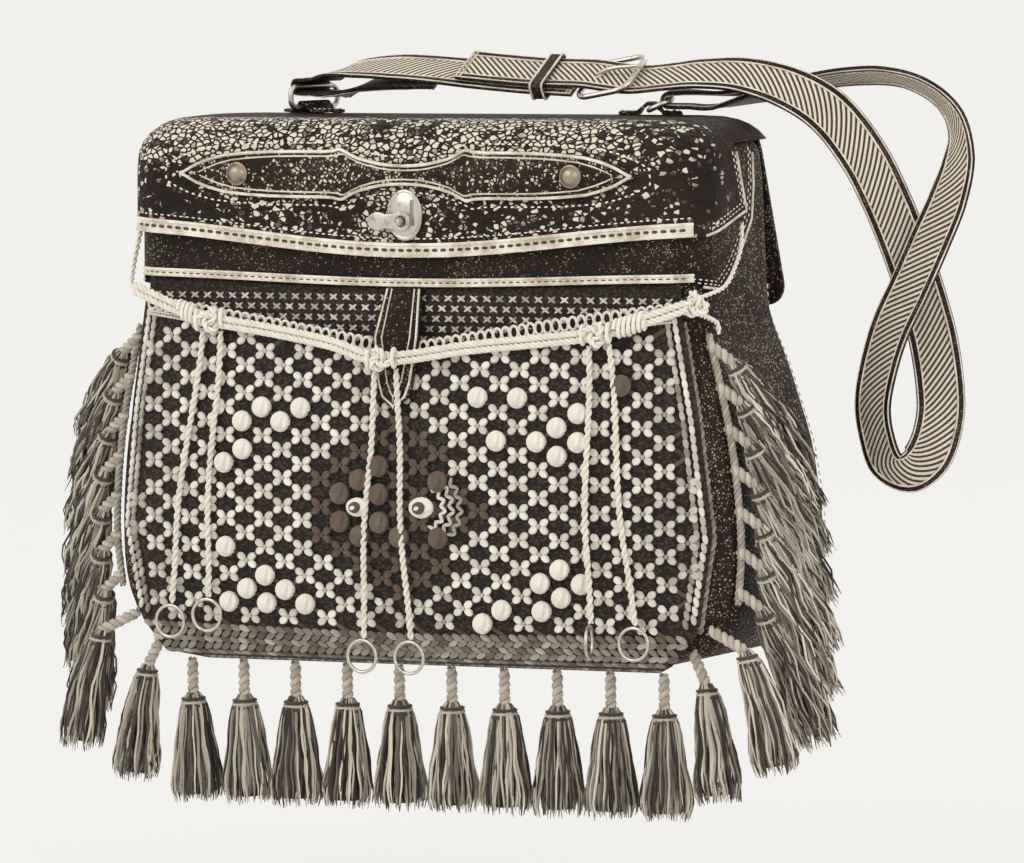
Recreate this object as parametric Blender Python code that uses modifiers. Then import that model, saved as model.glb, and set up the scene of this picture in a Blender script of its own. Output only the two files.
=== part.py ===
"""Hunting pouch: a leather bag with two lids, a netted game pocket, tassels and a shoulder strap.

Metres, +Z up, front towards -Y. The origin is the hang point at the top back edge, midway
between the two strap rings.
"""
import math
from collections import namedtuple

import bmesh
import bpy
from mathutils import Vector

# Driving sizes of the leather bag
HALF_WIDTH = 0.178
HEIGHT = 0.275
DEPTH = 0.119
FRONT_Y = -0.100
CORNER = 0.018
WALL = 0.0025
GAP = 0.0004
LID_GAP = 0.0010

# Lids
TOP_ROUNDING = 0.015
BACK_ROUNDING = 0.018
FLAP_DROP = 0.057
FLAP_SAG = 0.012
FLAP_WING = 0.047
UNDER_DROP = 0.080
UNDER_SAG = 0.004
UNDER_WING = 0.063
WING_TOP = 0.012
FRONT_SPLIT = 0.010
HOOD_SPARE = 0.010
BAND_WIDTH = 0.0075
BAND_THICKNESS = 0.0012
PIPING_WIDTH = 0.0045
BACK_FLAP_HALF = 0.155
BACK_FLAP_DROP = 0.098
BACK_FLAP_STAND = 0.006
BACK_FLAP_CORNER = 0.012
EDGE_INSET = 0.0008
SHOULDER_STEPS = 3

# Ornament, buttons, clasp and tongue
GRIP_HALF_LENGTH = 0.130
GRIP_HALF_HEIGHT = 0.0135
GRIP_DROP = 0.027
GRIP_THICKNESS = 0.0022
BUTTON_RADIUS = 0.006
BUTTON_HEIGHT = 0.004
BUTTON_SPACING = 0.190
PLATE_WIDTH = 0.020
PLATE_HEIGHT = 0.026
PLATE_THICKNESS = 0.003
PLATE_DROP = 0.0472
POST_RADIUS = 0.0024
POST_HEIGHT = 0.0075
LEVER_LENGTH = 0.013
LEVER_THICKNESS = 0.0024
LEVER_RIM = 0.0024
TAB_FLARE = 0.026
TAB_TIP_DROP = 0.145
TAB_THICKNESS = 0.0022
TAB_X = -0.003

# Netted pocket
NET_HALF_WIDTH = 0.168
NET_WALL = 0.003
NET_BULGE = 0.013
NET_TOP_DROP = 0.089
NET_TOP_SAG = 0.024
NET_BOTTOM_DROP = 0.2765
NET_BACK_WALL = 0.002
NET_BACK_DROP = 0.135
MESH_WIDTH = 0.0370
MESH_HEIGHT = 0.0235
MESH_STRAND = 0.0060
NET_BAND = 0.021

# Cords and rings
DRAWCORD_DIAMETER = 0.0036
CORD_DIAMETER = 0.0035
RING_RADIUS = 0.0081
RING_WIRE = 0.0018

# Tassels
TASSEL_STEM = 0.016
TASSEL_SKIRT = 0.049
TASSEL_RADIUS = 0.0125
TASSEL_SPACING = 0.030
BOTTOM_TASSELS = 10
SIDE_TASSELS = 7
SEAM_TOP_DROP = 0.112
SEAM_STEP = 0.0205
SEAM_LEAD = 0.006
SIDE_STEM = 0.013
SIDE_SKIRT = 0.052
SIDE_SKIRT_GROWTH = 0.012
SIDE_RADIUS = 0.0105
SIDE_LEAN_LEFT = 0.60
SIDE_LEAN_RIGHT = 0.42
SIDE_LEAN_FALL = 0.24
BRAID_DIAMETER = 0.004
BRAID_CLEAR = 0.0014

# Strap and its fittings
STRAP_REACH = 0.250
STRAP_WIDTH = 0.025
STRAP_THICKNESS = 0.0022
D_RING_X = 0.097
D_RING_Y = -0.022
D_RING_WIDTH = 0.028
D_RING_HEIGHT = 0.0110
D_RING_WIRE = 0.0030
D_RING_CORNER = 0.0042
LUG_WIDTH = 0.017
LUG_LENGTH = 0.032
LUG_THICKNESS = 0.0018
LUG_CLEAR = 0.0006
LUG_RAMP = 0.004
RING_STAND = 0.0012
BUCKLE_LENGTH = 0.028
BUCKLE_WIDTH = 0.032
BUCKLE_CORNER = 0.0045
BUCKLE_TILT = math.radians(10)
BUCKLE_WIRE = 0.0030
KEEPER_LENGTH = 0.008
KEEPER_THICKNESS = 0.0015
KEEPER_CLEAR = 0.0014

# Height of the layers at the top of the bag
FLAP_INNER_Z = -WALL
UNDER_INNER_Z = -2 * WALL - LID_GAP
RIM_Z = -2 * WALL - LID_GAP - GAP
UNDER_OUT = GAP
FLAP_OUT = GAP + LID_GAP + WALL
FLAP_FACE_Y = FRONT_Y - FLAP_OUT - WALL
UNDER_FACE_Y = FRONT_Y - UNDER_OUT - WALL

for old in list(bpy.data.objects):
    bpy.data.objects.remove(old, do_unlink=True)

pouch = bpy.data.collections.new("hunting_pouch")
tools = bpy.data.collections.new("cutters")
bpy.context.scene.collection.children.link(pouch)
bpy.context.scene.collection.children.link(tools)


# Materials

def finish(name, colour, roughness, metallic=0.0):
    """One Principled BSDF with the piece's colour."""
    material = bpy.data.materials.new(name)
    material.use_nodes = True
    shader = material.node_tree.nodes["Principled BSDF"]
    shader.inputs["Base Color"].default_value = (*colour, 1.0)
    shader.inputs["Roughness"].default_value = roughness
    shader.inputs["Metallic"].default_value = metallic
    return material


dark_leather = finish("dark_leather", (0.070, 0.045, 0.030), 0.55)
edge_leather = finish("edge_leather", (0.75, 0.68, 0.56), 0.60)
net_yarn = finish("net_yarn", (0.62, 0.54, 0.42), 0.85)
cord_yarn = finish("cord_yarn", (0.78, 0.71, 0.58), 0.80)
tassel_yarn = finish("tassel_yarn", (0.36, 0.28, 0.20), 0.85)
webbing = finish("webbing", (0.70, 0.62, 0.50), 0.75)
bright_metal = finish("bright_metal", (0.78, 0.74, 0.66), 0.30, 1.0)


# Making and joining shapes

def place(name, bm, material, collection=None, smooth=False, facing=None):
    """Turn a bmesh into a named object; an open sheet says which way it faces."""
    mesh = bpy.data.meshes.new(name)
    bmesh.ops.recalc_face_normals(bm, faces=bm.faces)
    if facing:
        bm.normal_update()
        total = sum((face.normal * face.calc_area() for face in bm.faces), Vector())
        if total.dot(Vector(facing)) < 0:
            bmesh.ops.reverse_faces(bm, faces=bm.faces)
    bm.to_mesh(mesh)
    bm.free()
    if material:
        mesh.materials.append(material)
    if smooth:
        mesh.shade_smooth()
    item = bpy.data.objects.new(name, mesh)
    (collection or pouch).objects.link(item)
    return item


def thicken(item, thickness, offset):
    """Give an open surface its wall; offset 1 grows it outwards, 0 both ways."""
    wall = item.modifiers.new("wall", "SOLIDIFY")
    wall.thickness = thickness
    wall.offset = offset
    wall.use_even_offset = True
    return item


def cut(item, cutter, operation="DIFFERENCE"):
    """Cut or join one solid with another, which is then only a guide."""
    if cutter.name not in tools.objects:
        tools.objects.link(cutter)
        pouch.objects.unlink(cutter)
    cutter.hide_render = True
    cutter.display_type = "WIRE"
    tool = item.modifiers.new("cut", "BOOLEAN")
    tool.object = cutter
    tool.operation = operation
    tool.solver = "EXACT"


def as_mesh(curve_item):
    """Change a curve object to a welded mesh object of the same name."""
    graph = bpy.context.evaluated_depsgraph_get()
    mesh = bpy.data.meshes.new_from_object(curve_item.evaluated_get(graph))
    bm = bmesh.new()
    bm.from_mesh(mesh)
    bmesh.ops.remove_doubles(bm, verts=bm.verts, dist=0.00001)
    bm.to_mesh(mesh)
    bm.free()
    name = curve_item.name
    matrix = curve_item.matrix_world.copy()
    bpy.data.objects.remove(curve_item, do_unlink=True)
    item = bpy.data.objects.new(name, mesh)
    item.matrix_world = matrix
    pouch.objects.link(item)
    return item


def wire(name, points, diameter, material, cyclic=False, resolution=2):
    """A round wire or cord along points."""
    curve = bpy.data.curves.new(name, "CURVE")
    curve.dimensions = "3D"
    curve.bevel_depth = diameter / 2
    curve.bevel_resolution = resolution
    curve.use_fill_caps = not cyclic
    spline = curve.splines.new("POLY")
    spline.points.add(len(points) - 1)
    for slot, point in zip(spline.points, points):
        slot.co = (*point, 1.0)
    spline.use_cyclic_u = cyclic
    curve.materials.append(material)
    item = bpy.data.objects.new(name, curve)
    pouch.objects.link(item)
    return item


def smooth_path(knots, steps):
    """Points of a smooth curve through knots, steps to a stretch."""
    rows = [Vector(k) for k in knots]
    ends = [rows[0] * 2 - rows[1]] + rows + [rows[-1] * 2 - rows[-2]]
    points = []
    for a, b, c, d in zip(ends, ends[1:], ends[2:], ends[3:]):
        for step in range(steps):
            t = step / steps
            points.append(0.5 * (2 * b + (c - a) * t + (2 * a - 5 * b + 4 * c - d) * t ** 2
                                 + (3 * b - a - 3 * c + d) * t ** 3))
    points.append(rows[-1])
    return points


def blend_rows(table, share):
    """Read a table of rows by its first column, straight between rows."""
    for low, high in zip(table, table[1:]):
        if share <= high[0]:
            t = max(0.0, (share - low[0]) / (high[0] - low[0]))
            return [a + (b - a) * t for a, b in zip(low, high)]
    return list(table[-1])


def loft(bm, rings, close_start=False, close_end=False):
    """Join closed rings of equal count with side faces."""
    made = [[bm.verts.new(point) for point in ring] for ring in rings]
    for ring, following in zip(made, made[1:]):
        for i in range(len(ring)):
            j = (i + 1) % len(ring)
            bm.faces.new((ring[i], ring[j], following[j], following[i]))
    if close_start:
        bm.faces.new(list(reversed(made[0])))
    if close_end:
        bm.faces.new(made[-1])


def sheet(bm, rows):
    """Join open rows of equal count with faces."""
    made = [[bm.verts.new(point) for point in row] for row in rows]
    for row, following in zip(made, made[1:]):
        for i in range(len(row) - 1):
            bm.faces.new((row[i], row[i + 1], following[i + 1], following[i]))


def prism(name, outline, axis, start, end):
    """A solid along X or Y with an outline of (across, up) points."""
    bm = bmesh.new()
    rings = []
    for level in (start, end):
        if axis == "X":
            rings.append([(level, across, up) for across, up in outline])
        else:
            rings.append([(across, level, up) for across, up in outline])
    loft(bm, rings, close_start=True, close_end=True)
    return place(name, bm, None, tools)


# The leather bag, by sections from rim to bottom, as shares of its driving sizes

Section = namedtuple("Section", "drop half_width front back")
BODY_SECTIONS = [
    Section(0.00, 0.888, 0.00, 0.770),
    Section(0.36, 0.899, 0.00, 0.790),
    Section(0.46, 0.938, 0.00, 0.874),
    Section(0.61, 0.983, 0.00, 0.966),
    Section(0.73, 1.000, 0.00, 1.000),
    Section(0.84, 1.000, 0.00, 0.992),
    Section(0.93, 0.966, 0.01, 0.941),
    Section(0.975, 0.890, 0.045, 0.850),
    Section(1.00, 0.720, 0.140, 0.720),
]


def section_at(z):
    """Half width, front Y, back Y of the bag at a height."""
    row = blend_rows(BODY_SECTIONS, min(1.0, max(0.0, -z / HEIGHT)))
    return row[1] * HALF_WIDTH, FRONT_Y + row[2] * DEPTH, FRONT_Y + row[3] * DEPTH


def outline_ring(half_width, front, back, radius, z, corner_steps=3, wide_steps=2):
    """A rounded rectangle at one height, as points, starting at the front right corner."""
    radius = min(radius, (back - front) / 2 - 0.001, half_width - 0.001)
    centres = [
        (half_width - radius, front + radius, -90),
        (half_width - radius, back - radius, 0),
        (radius - half_width, back - radius, 90),
        (radius - half_width, front + radius, 180),
    ]
    points = []
    for number, (x, y, start) in enumerate(centres):
        for step in range(corner_steps + 1):
            angle = math.radians(start + 90 * step / corner_steps)
            points.append(Vector((x + radius * math.cos(angle), y + radius * math.sin(angle), z)))
        if number % 2 == 1:
            far_y = back if number == 1 else front
            for step in range(1, wide_steps):
                t = step / wide_steps
                span = half_width - radius
                x_here = span - 2 * span * t if number == 1 else -span + 2 * span * t
                points.append(Vector((x_here, far_y, z)))
    return points


def shoulder_rings(out, top_z, first_step):
    """Rings of the rounded shoulder, from the flat top to the upright wall."""
    half_width, front, back = section_at(0.0)
    rings = []
    for step in range(first_step, SHOULDER_STEPS + 1):
        angle = math.radians(90 * step / SHOULDER_STEPS)
        inset = 1 - math.sin(angle)
        rings.append(outline_ring(
            half_width + out - (TOP_ROUNDING + out) * inset,
            front - out + (TOP_ROUNDING + out) * inset,
            back + out - (BACK_ROUNDING + out) * inset,
            CORNER + out, top_z - (TOP_ROUNDING + out) * (1 - math.cos(angle))))
    return rings


def whole_body(name):
    """The open bag: its rim turns in under the lids."""
    bm = bmesh.new()
    rings = shoulder_rings(0.0, RIM_Z, 1)
    for row in BODY_SECTIONS[1:]:
        z = -row.drop * HEIGHT
        half_width, front, back = section_at(z)
        rings.append(outline_ring(half_width, front, back, CORNER, z))
    loft(bm, rings, close_end=True)
    return thicken(place(name, bm, dark_leather, smooth=True), WALL, -1)


def body_panel(name, x_span, y_span, z_span):
    """One panel of the bag, between its seams."""
    item = whole_body(name)
    cell = [(x_span[0], z_span[0]), (x_span[1], z_span[0]), (x_span[1], z_span[1]), (x_span[0], z_span[1])]
    cut(item, prism(name + "_cell", cell, "Y", *y_span), "INTERSECT")
    return item


SEAM_X = HALF_WIDTH * 0.76
SEAM_Y = FRONT_Y + DEPTH * 0.45
SEAM_Z = -HEIGHT * 0.90
OUTER = 2 * HEIGHT
body_panel("body_front", (-SEAM_X, SEAM_X), (-OUTER, SEAM_Y), (SEAM_Z, OUTER))
body_panel("body_back", (-SEAM_X, SEAM_X), (SEAM_Y, OUTER), (SEAM_Z, OUTER))
body_panel("body_side_left", (-OUTER, -SEAM_X - GAP), (-OUTER, OUTER), (SEAM_Z, OUTER))
body_panel("body_side_right", (SEAM_X + GAP, OUTER), (-OUTER, OUTER), (SEAM_Z, OUTER))
body_panel("body_bottom", (-OUTER, OUTER), (-OUTER, OUTER), (-OUTER, SEAM_Z - GAP))


# The two lids: hoods over the bag's top, cut to their wings and lower edges

def hood(name, out, inner_z, drop):
    """A lid's blank: flat top, rounded edge and straight walls down to drop."""
    bm = bmesh.new()
    rings = shoulder_rings(out, inner_z, 0)
    for z in (-drop * 0.5, -drop):
        half_width, front, back = section_at(z)
        rings.append(outline_ring(half_width + out, front - out, back + out, CORNER + out, z))
    loft(bm, rings, close_start=True)
    return thicken(place(name, bm, dark_leather, smooth=True), WALL, 1)


def lower_edge(x, drop, sag):
    """Height of a lid's front edge, lowest at the middle."""
    share = min(1.0, abs(x) / HALF_WIDTH)
    return -drop - sag * math.cos(share * math.pi / 2) ** 2


def trim_lid(item, drop, sag, wing_outline):
    """Cut the front edge and the wings of a lid."""
    reach = HALF_WIDTH * 1.3
    steps = 10
    curve = [(reach * (2 * i / steps - 1), 0) for i in range(steps + 1)]
    front_outline = [(x, lower_edge(x, drop, sag)) for x, _ in curve]
    front_outline += [(reach, -HEIGHT), (-reach, -HEIGHT)]
    split = FRONT_Y + FRONT_SPLIT
    cut(item, prism(item.name + "_front_cut", front_outline, "Y", split - DEPTH, split))
    outline = [(FRONT_Y + depth, z) for depth, z in wing_outline]
    outline += [(FRONT_Y + 2 * DEPTH, -WING_TOP), (FRONT_Y + 2 * DEPTH, -HEIGHT), (split - 0.0002, -HEIGHT)]
    cut(item, prism(item.name + "_wing_cut", outline, "X", -reach, reach))


flap = hood("flap", FLAP_OUT, FLAP_INNER_Z, FLAP_DROP + FLAP_SAG + HOOD_SPARE)
trim_lid(flap, FLAP_DROP, FLAP_SAG, [
    (FRONT_SPLIT - 0.0002, -FLAP_DROP + 0.001),
    (FLAP_WING, -FLAP_DROP * 0.80),
    (FLAP_WING * 0.80, -WING_TOP),
])

under_flap = hood("under_flap", UNDER_OUT, UNDER_INNER_Z, UNDER_DROP + UNDER_SAG + HOOD_SPARE)
trim_lid(under_flap, UNDER_DROP, UNDER_SAG, [
    (FRONT_SPLIT - 0.0002, -UNDER_DROP - 0.004),
    (UNDER_WING * 0.35, -UNDER_DROP - 0.006),
    (UNDER_WING * 0.70, -UNDER_DROP * 0.87),
    (UNDER_WING * 0.95, -UNDER_DROP * 0.65),
    (UNDER_WING, -UNDER_DROP * 0.44),
    (UNDER_WING, -WING_TOP),
])


def front_band(name, drop, sag, face_y, width, thickness, material):
    """A strip along a lid's front edge, on its face."""
    bm = bmesh.new()
    reach = section_at(-drop)[0] - CORNER * 0.5
    steps = 16
    rows = []
    for up in (width, 0.0003):
        rows.append([(reach * (2 * i / steps - 1), face_y - GAP,
                      lower_edge(reach * (2 * i / steps - 1), drop, sag) + up) for i in range(steps + 1)])
    sheet(bm, rows)
    return thicken(place(name, bm, material, facing=(0, -1, 0)), thickness, 1)


front_band("flap_binding", FLAP_DROP, FLAP_SAG, FLAP_FACE_Y, BAND_WIDTH, BAND_THICKNESS, edge_leather)
front_band("under_flap_binding", UNDER_DROP, UNDER_SAG, UNDER_FACE_Y, PIPING_WIDTH, BAND_THICKNESS,
           edge_leather)


# The panel on the back, hanging from the back top edge, and its edging

def back_profile(z):
    """How far back the panel's inner face stands: over the shoulder, then hanging a little clear."""
    radius = TOP_ROUNDING + FLAP_OUT
    sunk = min(1.0, (FLAP_INNER_Z - z) / radius)
    inset = (BACK_ROUNDING + FLAP_OUT) * (1 - math.sqrt(1 - (1 - sunk) ** 2))
    stand = BACK_FLAP_STAND * max(0.0, -z / BACK_FLAP_DROP - 0.2)
    return section_at(z)[2] + FLAP_OUT - inset + stand


BACK_SHARES = [0.0, 0.05, 0.11, 0.30, 0.60, 0.86, 0.93, 0.97, 1.0]


def back_rows(inset, stand):
    """Rows of the back panel from the top edge down, rounded at the lower corners."""
    rows = []
    top = -WING_TOP - WALL * 0.3 - GAP
    for share in BACK_SHARES:
        z = top - (BACK_FLAP_DROP - inset + top) * share
        left_over = max(0.0, BACK_FLAP_CORNER - (BACK_FLAP_DROP - inset + z))
        pull = BACK_FLAP_CORNER - math.sqrt(max(0.0, BACK_FLAP_CORNER ** 2 - left_over ** 2))
        half = BACK_FLAP_HALF * (0.96 + 0.07 * share) - inset - pull
        rows.append([(half * (2 * i / 4 - 1), back_profile(z) + stand, z) for i in range(5)])
    return rows


panel = bmesh.new()
sheet(panel, back_rows(0.0, 0.0))
thicken(place("back_flap", panel, dark_leather, smooth=True, facing=(0, 1, 0)), WALL, 1)


def make_back_binding():
    """A narrow strip round the panel's sides and lower edge."""
    bm = bmesh.new()
    sides = []
    for inset in (EDGE_INSET, PIPING_WIDTH + EDGE_INSET):
        rows = back_rows(inset, WALL + GAP)
        sides.append([row[0] for row in rows] + rows[-1][1:-1] + [row[-1] for row in reversed(rows)])
    sheet(bm, sides)
    return thicken(place("back_flap_binding", bm, edge_leather, facing=(0, 1, 0)), BAND_THICKNESS, 1)


make_back_binding()


# The ornament across the lid, with its buttons

GripRow = namedtuple("GripRow", "along half_height")
GRIP_ROWS = [
    GripRow(0.00, 0.39), GripRow(0.10, 0.45), GripRow(0.20, 0.66), GripRow(0.27, 1.00),
    GripRow(0.33, 0.90), GripRow(0.60, 0.88), GripRow(0.80, 0.74), GripRow(0.93, 0.36),
    GripRow(1.00, 0.02),
]


def make_grip():
    right = [(row.along, row.half_height) for row in GRIP_ROWS]
    upper = [(-a, h) for a, h in reversed(right)] + right[1:]
    outline = [(a * GRIP_HALF_LENGTH, h * GRIP_HALF_HEIGHT - GRIP_DROP) for a, h in upper]
    outline += [(a * GRIP_HALF_LENGTH, -h * GRIP_HALF_HEIGHT - GRIP_DROP) for a, h in reversed(upper)]
    curve = bpy.data.curves.new("grip_ornament", "CURVE")
    curve.dimensions = "2D"
    curve.fill_mode = "BOTH"
    curve.extrude = GRIP_THICKNESS / 2
    spline = curve.splines.new("POLY")
    spline.points.add(len(outline) - 1)
    for slot, (x, z) in zip(spline.points, outline):
        slot.co = (x, z, 0.0, 1.0)
    spline.use_cyclic_u = True
    curve.materials.append(dark_leather)
    item = bpy.data.objects.new("grip_ornament", curve)
    pouch.objects.link(item)
    item.location = (0, FLAP_FACE_Y - GAP - GRIP_THICKNESS / 2, 0)
    item.rotation_euler = (math.radians(90), 0, 0)
    return item


make_grip()


def turned_boss(name, x, z, base_y, radius, height, material, sides=10):
    """A low domed button standing out towards the front."""
    bm = bmesh.new()
    rings = []
    for share_r, share_h in ((1.0, 0.0), (1.0, 0.30), (0.85, 0.65), (0.55, 0.90), (0.15, 1.0)):
        rings.append([(x + radius * share_r * math.cos(2 * math.pi * i / sides),
                       base_y - height * share_h,
                       z + radius * share_r * math.sin(2 * math.pi * i / sides)) for i in range(sides)])
    loft(bm, rings, close_start=True, close_end=True)
    return place(name, bm, material, smooth=True)


GRIP_FACE_Y = FLAP_FACE_Y - GAP - GRIP_THICKNESS
for name, sign in (("button_left", -1), ("button_right", 1)):
    turned_boss(name, sign * BUTTON_SPACING / 2, -GRIP_DROP, GRIP_FACE_Y - GAP, BUTTON_RADIUS, BUTTON_HEIGHT,
                bright_metal)


# The clasp: an oval plate with a post, and a lever that turns on the post

PLATE_Y = FLAP_FACE_Y - GAP
PLATE_Z = -PLATE_DROP
POST_Z = PLATE_Z - PLATE_HEIGHT * 0.12
LEVER_Y = PLATE_Y - PLATE_THICKNESS - GAP


def make_plate():
    bm = bmesh.new()
    rings = []
    sides = 16
    for share, height in ((1.0, 0.0), (1.0, 0.45), (0.84, 1.0)):
        rings.append([(PLATE_WIDTH / 2 * share * math.cos(2 * math.pi * i / sides),
                       PLATE_Y - PLATE_THICKNESS * height,
                       PLATE_Z + PLATE_HEIGHT / 2 * share * math.sin(2 * math.pi * i / sides))
                      for i in range(sides)])
    loft(bm, rings, close_start=True, close_end=True)
    plate = place("clasp_plate", bm, bright_metal, smooth=True)
    post = turned_boss("clasp_post", 0.0, POST_Z, PLATE_Y - PLATE_THICKNESS / 2, POST_RADIUS, POST_HEIGHT,
                       bright_metal)
    cut(plate, post, "UNION")
    return plate


make_plate()


def make_lever():
    """A flat lever with a round eye on the post and an oval thumb end."""
    outline = []
    eye = POST_RADIUS + GAP + LEVER_RIM
    knob = eye * 0.9
    for step in range(9):
        angle = math.radians(-130 + 260 * step / 8)
        outline.append((eye * math.cos(angle), POST_Z + eye * math.sin(angle)))
    for step in range(9):
        angle = math.radians(50 + 260 * step / 8)
        outline.append((-LEVER_LENGTH + knob * 1.3 * math.cos(angle), POST_Z + knob * math.sin(angle)))
    lever = prism("clasp_lever", outline, "Y", LEVER_Y - LEVER_THICKNESS, LEVER_Y)
    lever.data.materials.append(bright_metal)
    tools.objects.unlink(lever)
    pouch.objects.link(lever)
    hole = POST_RADIUS + GAP
    bore = prism("lever_bore", [(hole * math.cos(math.pi * i / 8), POST_Z + hole * math.sin(math.pi * i / 8))
                                for i in range(16)], "Y", LEVER_Y - 2 * LEVER_THICKNESS,
                 LEVER_Y + LEVER_THICKNESS)
    cut(lever, bore)
    return lever


make_lever()


# The netted pocket: a bulging open sheet cut through in a diamond lattice

NetRow = namedtuple("NetRow", "down half_width bulge")
NET_ROWS = [
    NetRow(0.00, 0.905, 0.45),
    NetRow(0.30, 0.960, 0.95),
    NetRow(0.62, 1.000, 1.00),
    NetRow(0.88, 0.950, 0.65),
    NetRow(0.97, 0.870, 0.15),
    NetRow(1.00, 0.770, -1.30),
]


def net_top(x):
    """Height of the pocket's upper edge, which dips to the middle."""
    share = min(1.0, abs(x) / NET_HALF_WIDTH)
    return -NET_TOP_DROP - NET_TOP_SAG * (1 - share) ** 1.2


def net_point(across, down, out=0.0):
    """A point of the pocket's inner face; across -1 to 1, down 0 to 1."""
    row = NetRow(*blend_rows(NET_ROWS, down))
    half = row.half_width * NET_HALF_WIDTH
    x = across * half
    top = net_top(across * NET_HALF_WIDTH)
    z = top + down * (-NET_BOTTOM_DROP - top)
    belly = row.bulge * NET_BULGE * (1 - abs(across) ** 4)
    if row.bulge < 0:
        belly = row.bulge * NET_BULGE
    return Vector((x, FRONT_Y - NET_BACK_WALL - 2 * GAP - belly - out, z))


def net_face_y(x, z, out=0.0):
    """The pocket's outer face in front of a place on it."""
    top = net_top(x)
    down = min(0.92, max(0.0, (z - top) / (-NET_BOTTOM_DROP - top)))
    half = NetRow(*blend_rows(NET_ROWS, down)).half_width * NET_HALF_WIDTH
    return net_point(max(-1.0, min(1.0, x / half)), down, NET_WALL + out).y


def make_net_front():
    bm = bmesh.new()
    columns = 6
    rows = [[net_point(2 * i / columns - 1, row.down) for i in range(columns + 1)] for row in NET_ROWS]
    sheet(bm, rows)
    net = thicken(place("net_front", bm, net_yarn, smooth=True, facing=(0, -1, 0)), NET_WALL, 1)
    gaps = bmesh.new()
    half_w = MESH_WIDTH / 2 - MESH_STRAND / 2 * MESH_WIDTH / MESH_HEIGHT
    half_h = half_w * MESH_HEIGHT / MESH_WIDTH
    line = 0
    z = -NET_TOP_DROP
    while z > -NET_BOTTOM_DROP + NET_BAND + half_h:
        z = -NET_TOP_DROP - line * MESH_HEIGHT / 2
        count = int(NET_HALF_WIDTH / MESH_WIDTH) + 1
        for place_number in range(-count, count + 1):
            x = (place_number + 0.5 * (line % 2)) * MESH_WIDTH
            top = net_top(x)
            down = (z - top) / (-NET_BOTTOM_DROP - top)
            edge = NetRow(*blend_rows(NET_ROWS, max(0.0, down))).half_width * NET_HALF_WIDTH
            clear_side = abs(x) + half_w < edge - MESH_STRAND
            clear_top = z + half_h < top - MESH_STRAND
            clear_low = z - half_h > -NET_BOTTOM_DROP + NET_BAND
            if clear_side and clear_top and clear_low:
                outline = [(x + half_w, z), (x, z + half_h), (x - half_w, z), (x, z - half_h)]
                loft(gaps, [[(a, y, b) for a, b in outline] for y in (FRONT_Y - 3 * NET_BULGE, FRONT_Y)],
                     close_start=True, close_end=True)
        line += 1
    cut(net, place("net_gaps", gaps, None, tools))
    return net


make_net_front()


def make_net_back():
    """The strip of net behind the pocket's mouth, flat on the bag's front."""
    bm = bmesh.new()
    half = NET_HALF_WIDTH * 0.90
    rows = []
    for share in (0.0, 0.5, 1.0):
        row = []
        for i in range(9):
            x = half * (2 * i / 8 - 1)
            top = lower_edge(x, UNDER_DROP, UNDER_SAG) - GAP * 2
            row.append((x, FRONT_Y - GAP, top + share * (-NET_BACK_DROP - top)))
        rows.append(row)
    sheet(bm, rows)
    return thicken(place("net_back", bm, net_yarn, facing=(0, -1, 0)), NET_BACK_WALL - GAP, 1)


make_net_back()


# The leather tongue, from under the lid and down in front of the net

def make_tab():
    bm = bmesh.new()
    rows = []
    tip_drop = TAB_TIP_DROP
    start = lower_edge(TAB_X, UNDER_DROP, UNDER_SAG) - GAP * 2
    for share, width in ((0.0, 0.77), (0.40, 1.0), (0.78, 0.80), (0.90, 0.62), (1.0, 0.04)):
        z = start + share * (-tip_drop - start)
        half = TAB_FLARE / 2 * width
        y = min(FRONT_Y - NET_BACK_WALL - 2 * GAP, net_face_y(TAB_X, z) - GAP if z < -0.100 else 0.0)
        rows.append([(TAB_X + half * side, y, z) for side in (-1, 0, 1)])
    sheet(bm, rows)
    return thicken(place("closing_tab", bm, dark_leather, facing=(0, -1, 0)), TAB_THICKNESS, 1)


make_tab()


# The drawstring: two strands side by side along the pocket's edge, with knots

StringRow = namedtuple("StringRow", "x z stand")
STRING_ROWS = [
    StringRow(-0.157, -0.086, 0.000), StringRow(-0.135, -0.094, 0.001), StringRow(-0.109, -0.101, 0.002),
    StringRow(-0.075, -0.106, 0.001), StringRow(-0.040, -0.112, 0.001), StringRow(-0.007, -0.119, 0.004),
    StringRow(0.040, -0.113, 0.001), StringRow(0.080, -0.109, 0.001), StringRow(0.111, -0.105, 0.002),
    StringRow(0.140, -0.097, 0.001), StringRow(0.158, -0.091, 0.000),
]
KNOTS = [STRING_ROWS[2], STRING_ROWS[5], STRING_ROWS[8]]
KNOT_RADIUS = 0.0075
KNOT_SHAPE = (1.15, 0.50, 0.95)


def string_y(x, z, stand):
    """Centre of the drawstring in front of the pocket's face, and of the tongue where it crosses."""
    over_tab = TAB_THICKNESS + GAP if abs(x - TAB_X) < TAB_FLARE else 0.0
    return net_face_y(x, z) - DRAWCORD_DIAMETER / 2 - GAP - over_tab - stand


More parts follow.
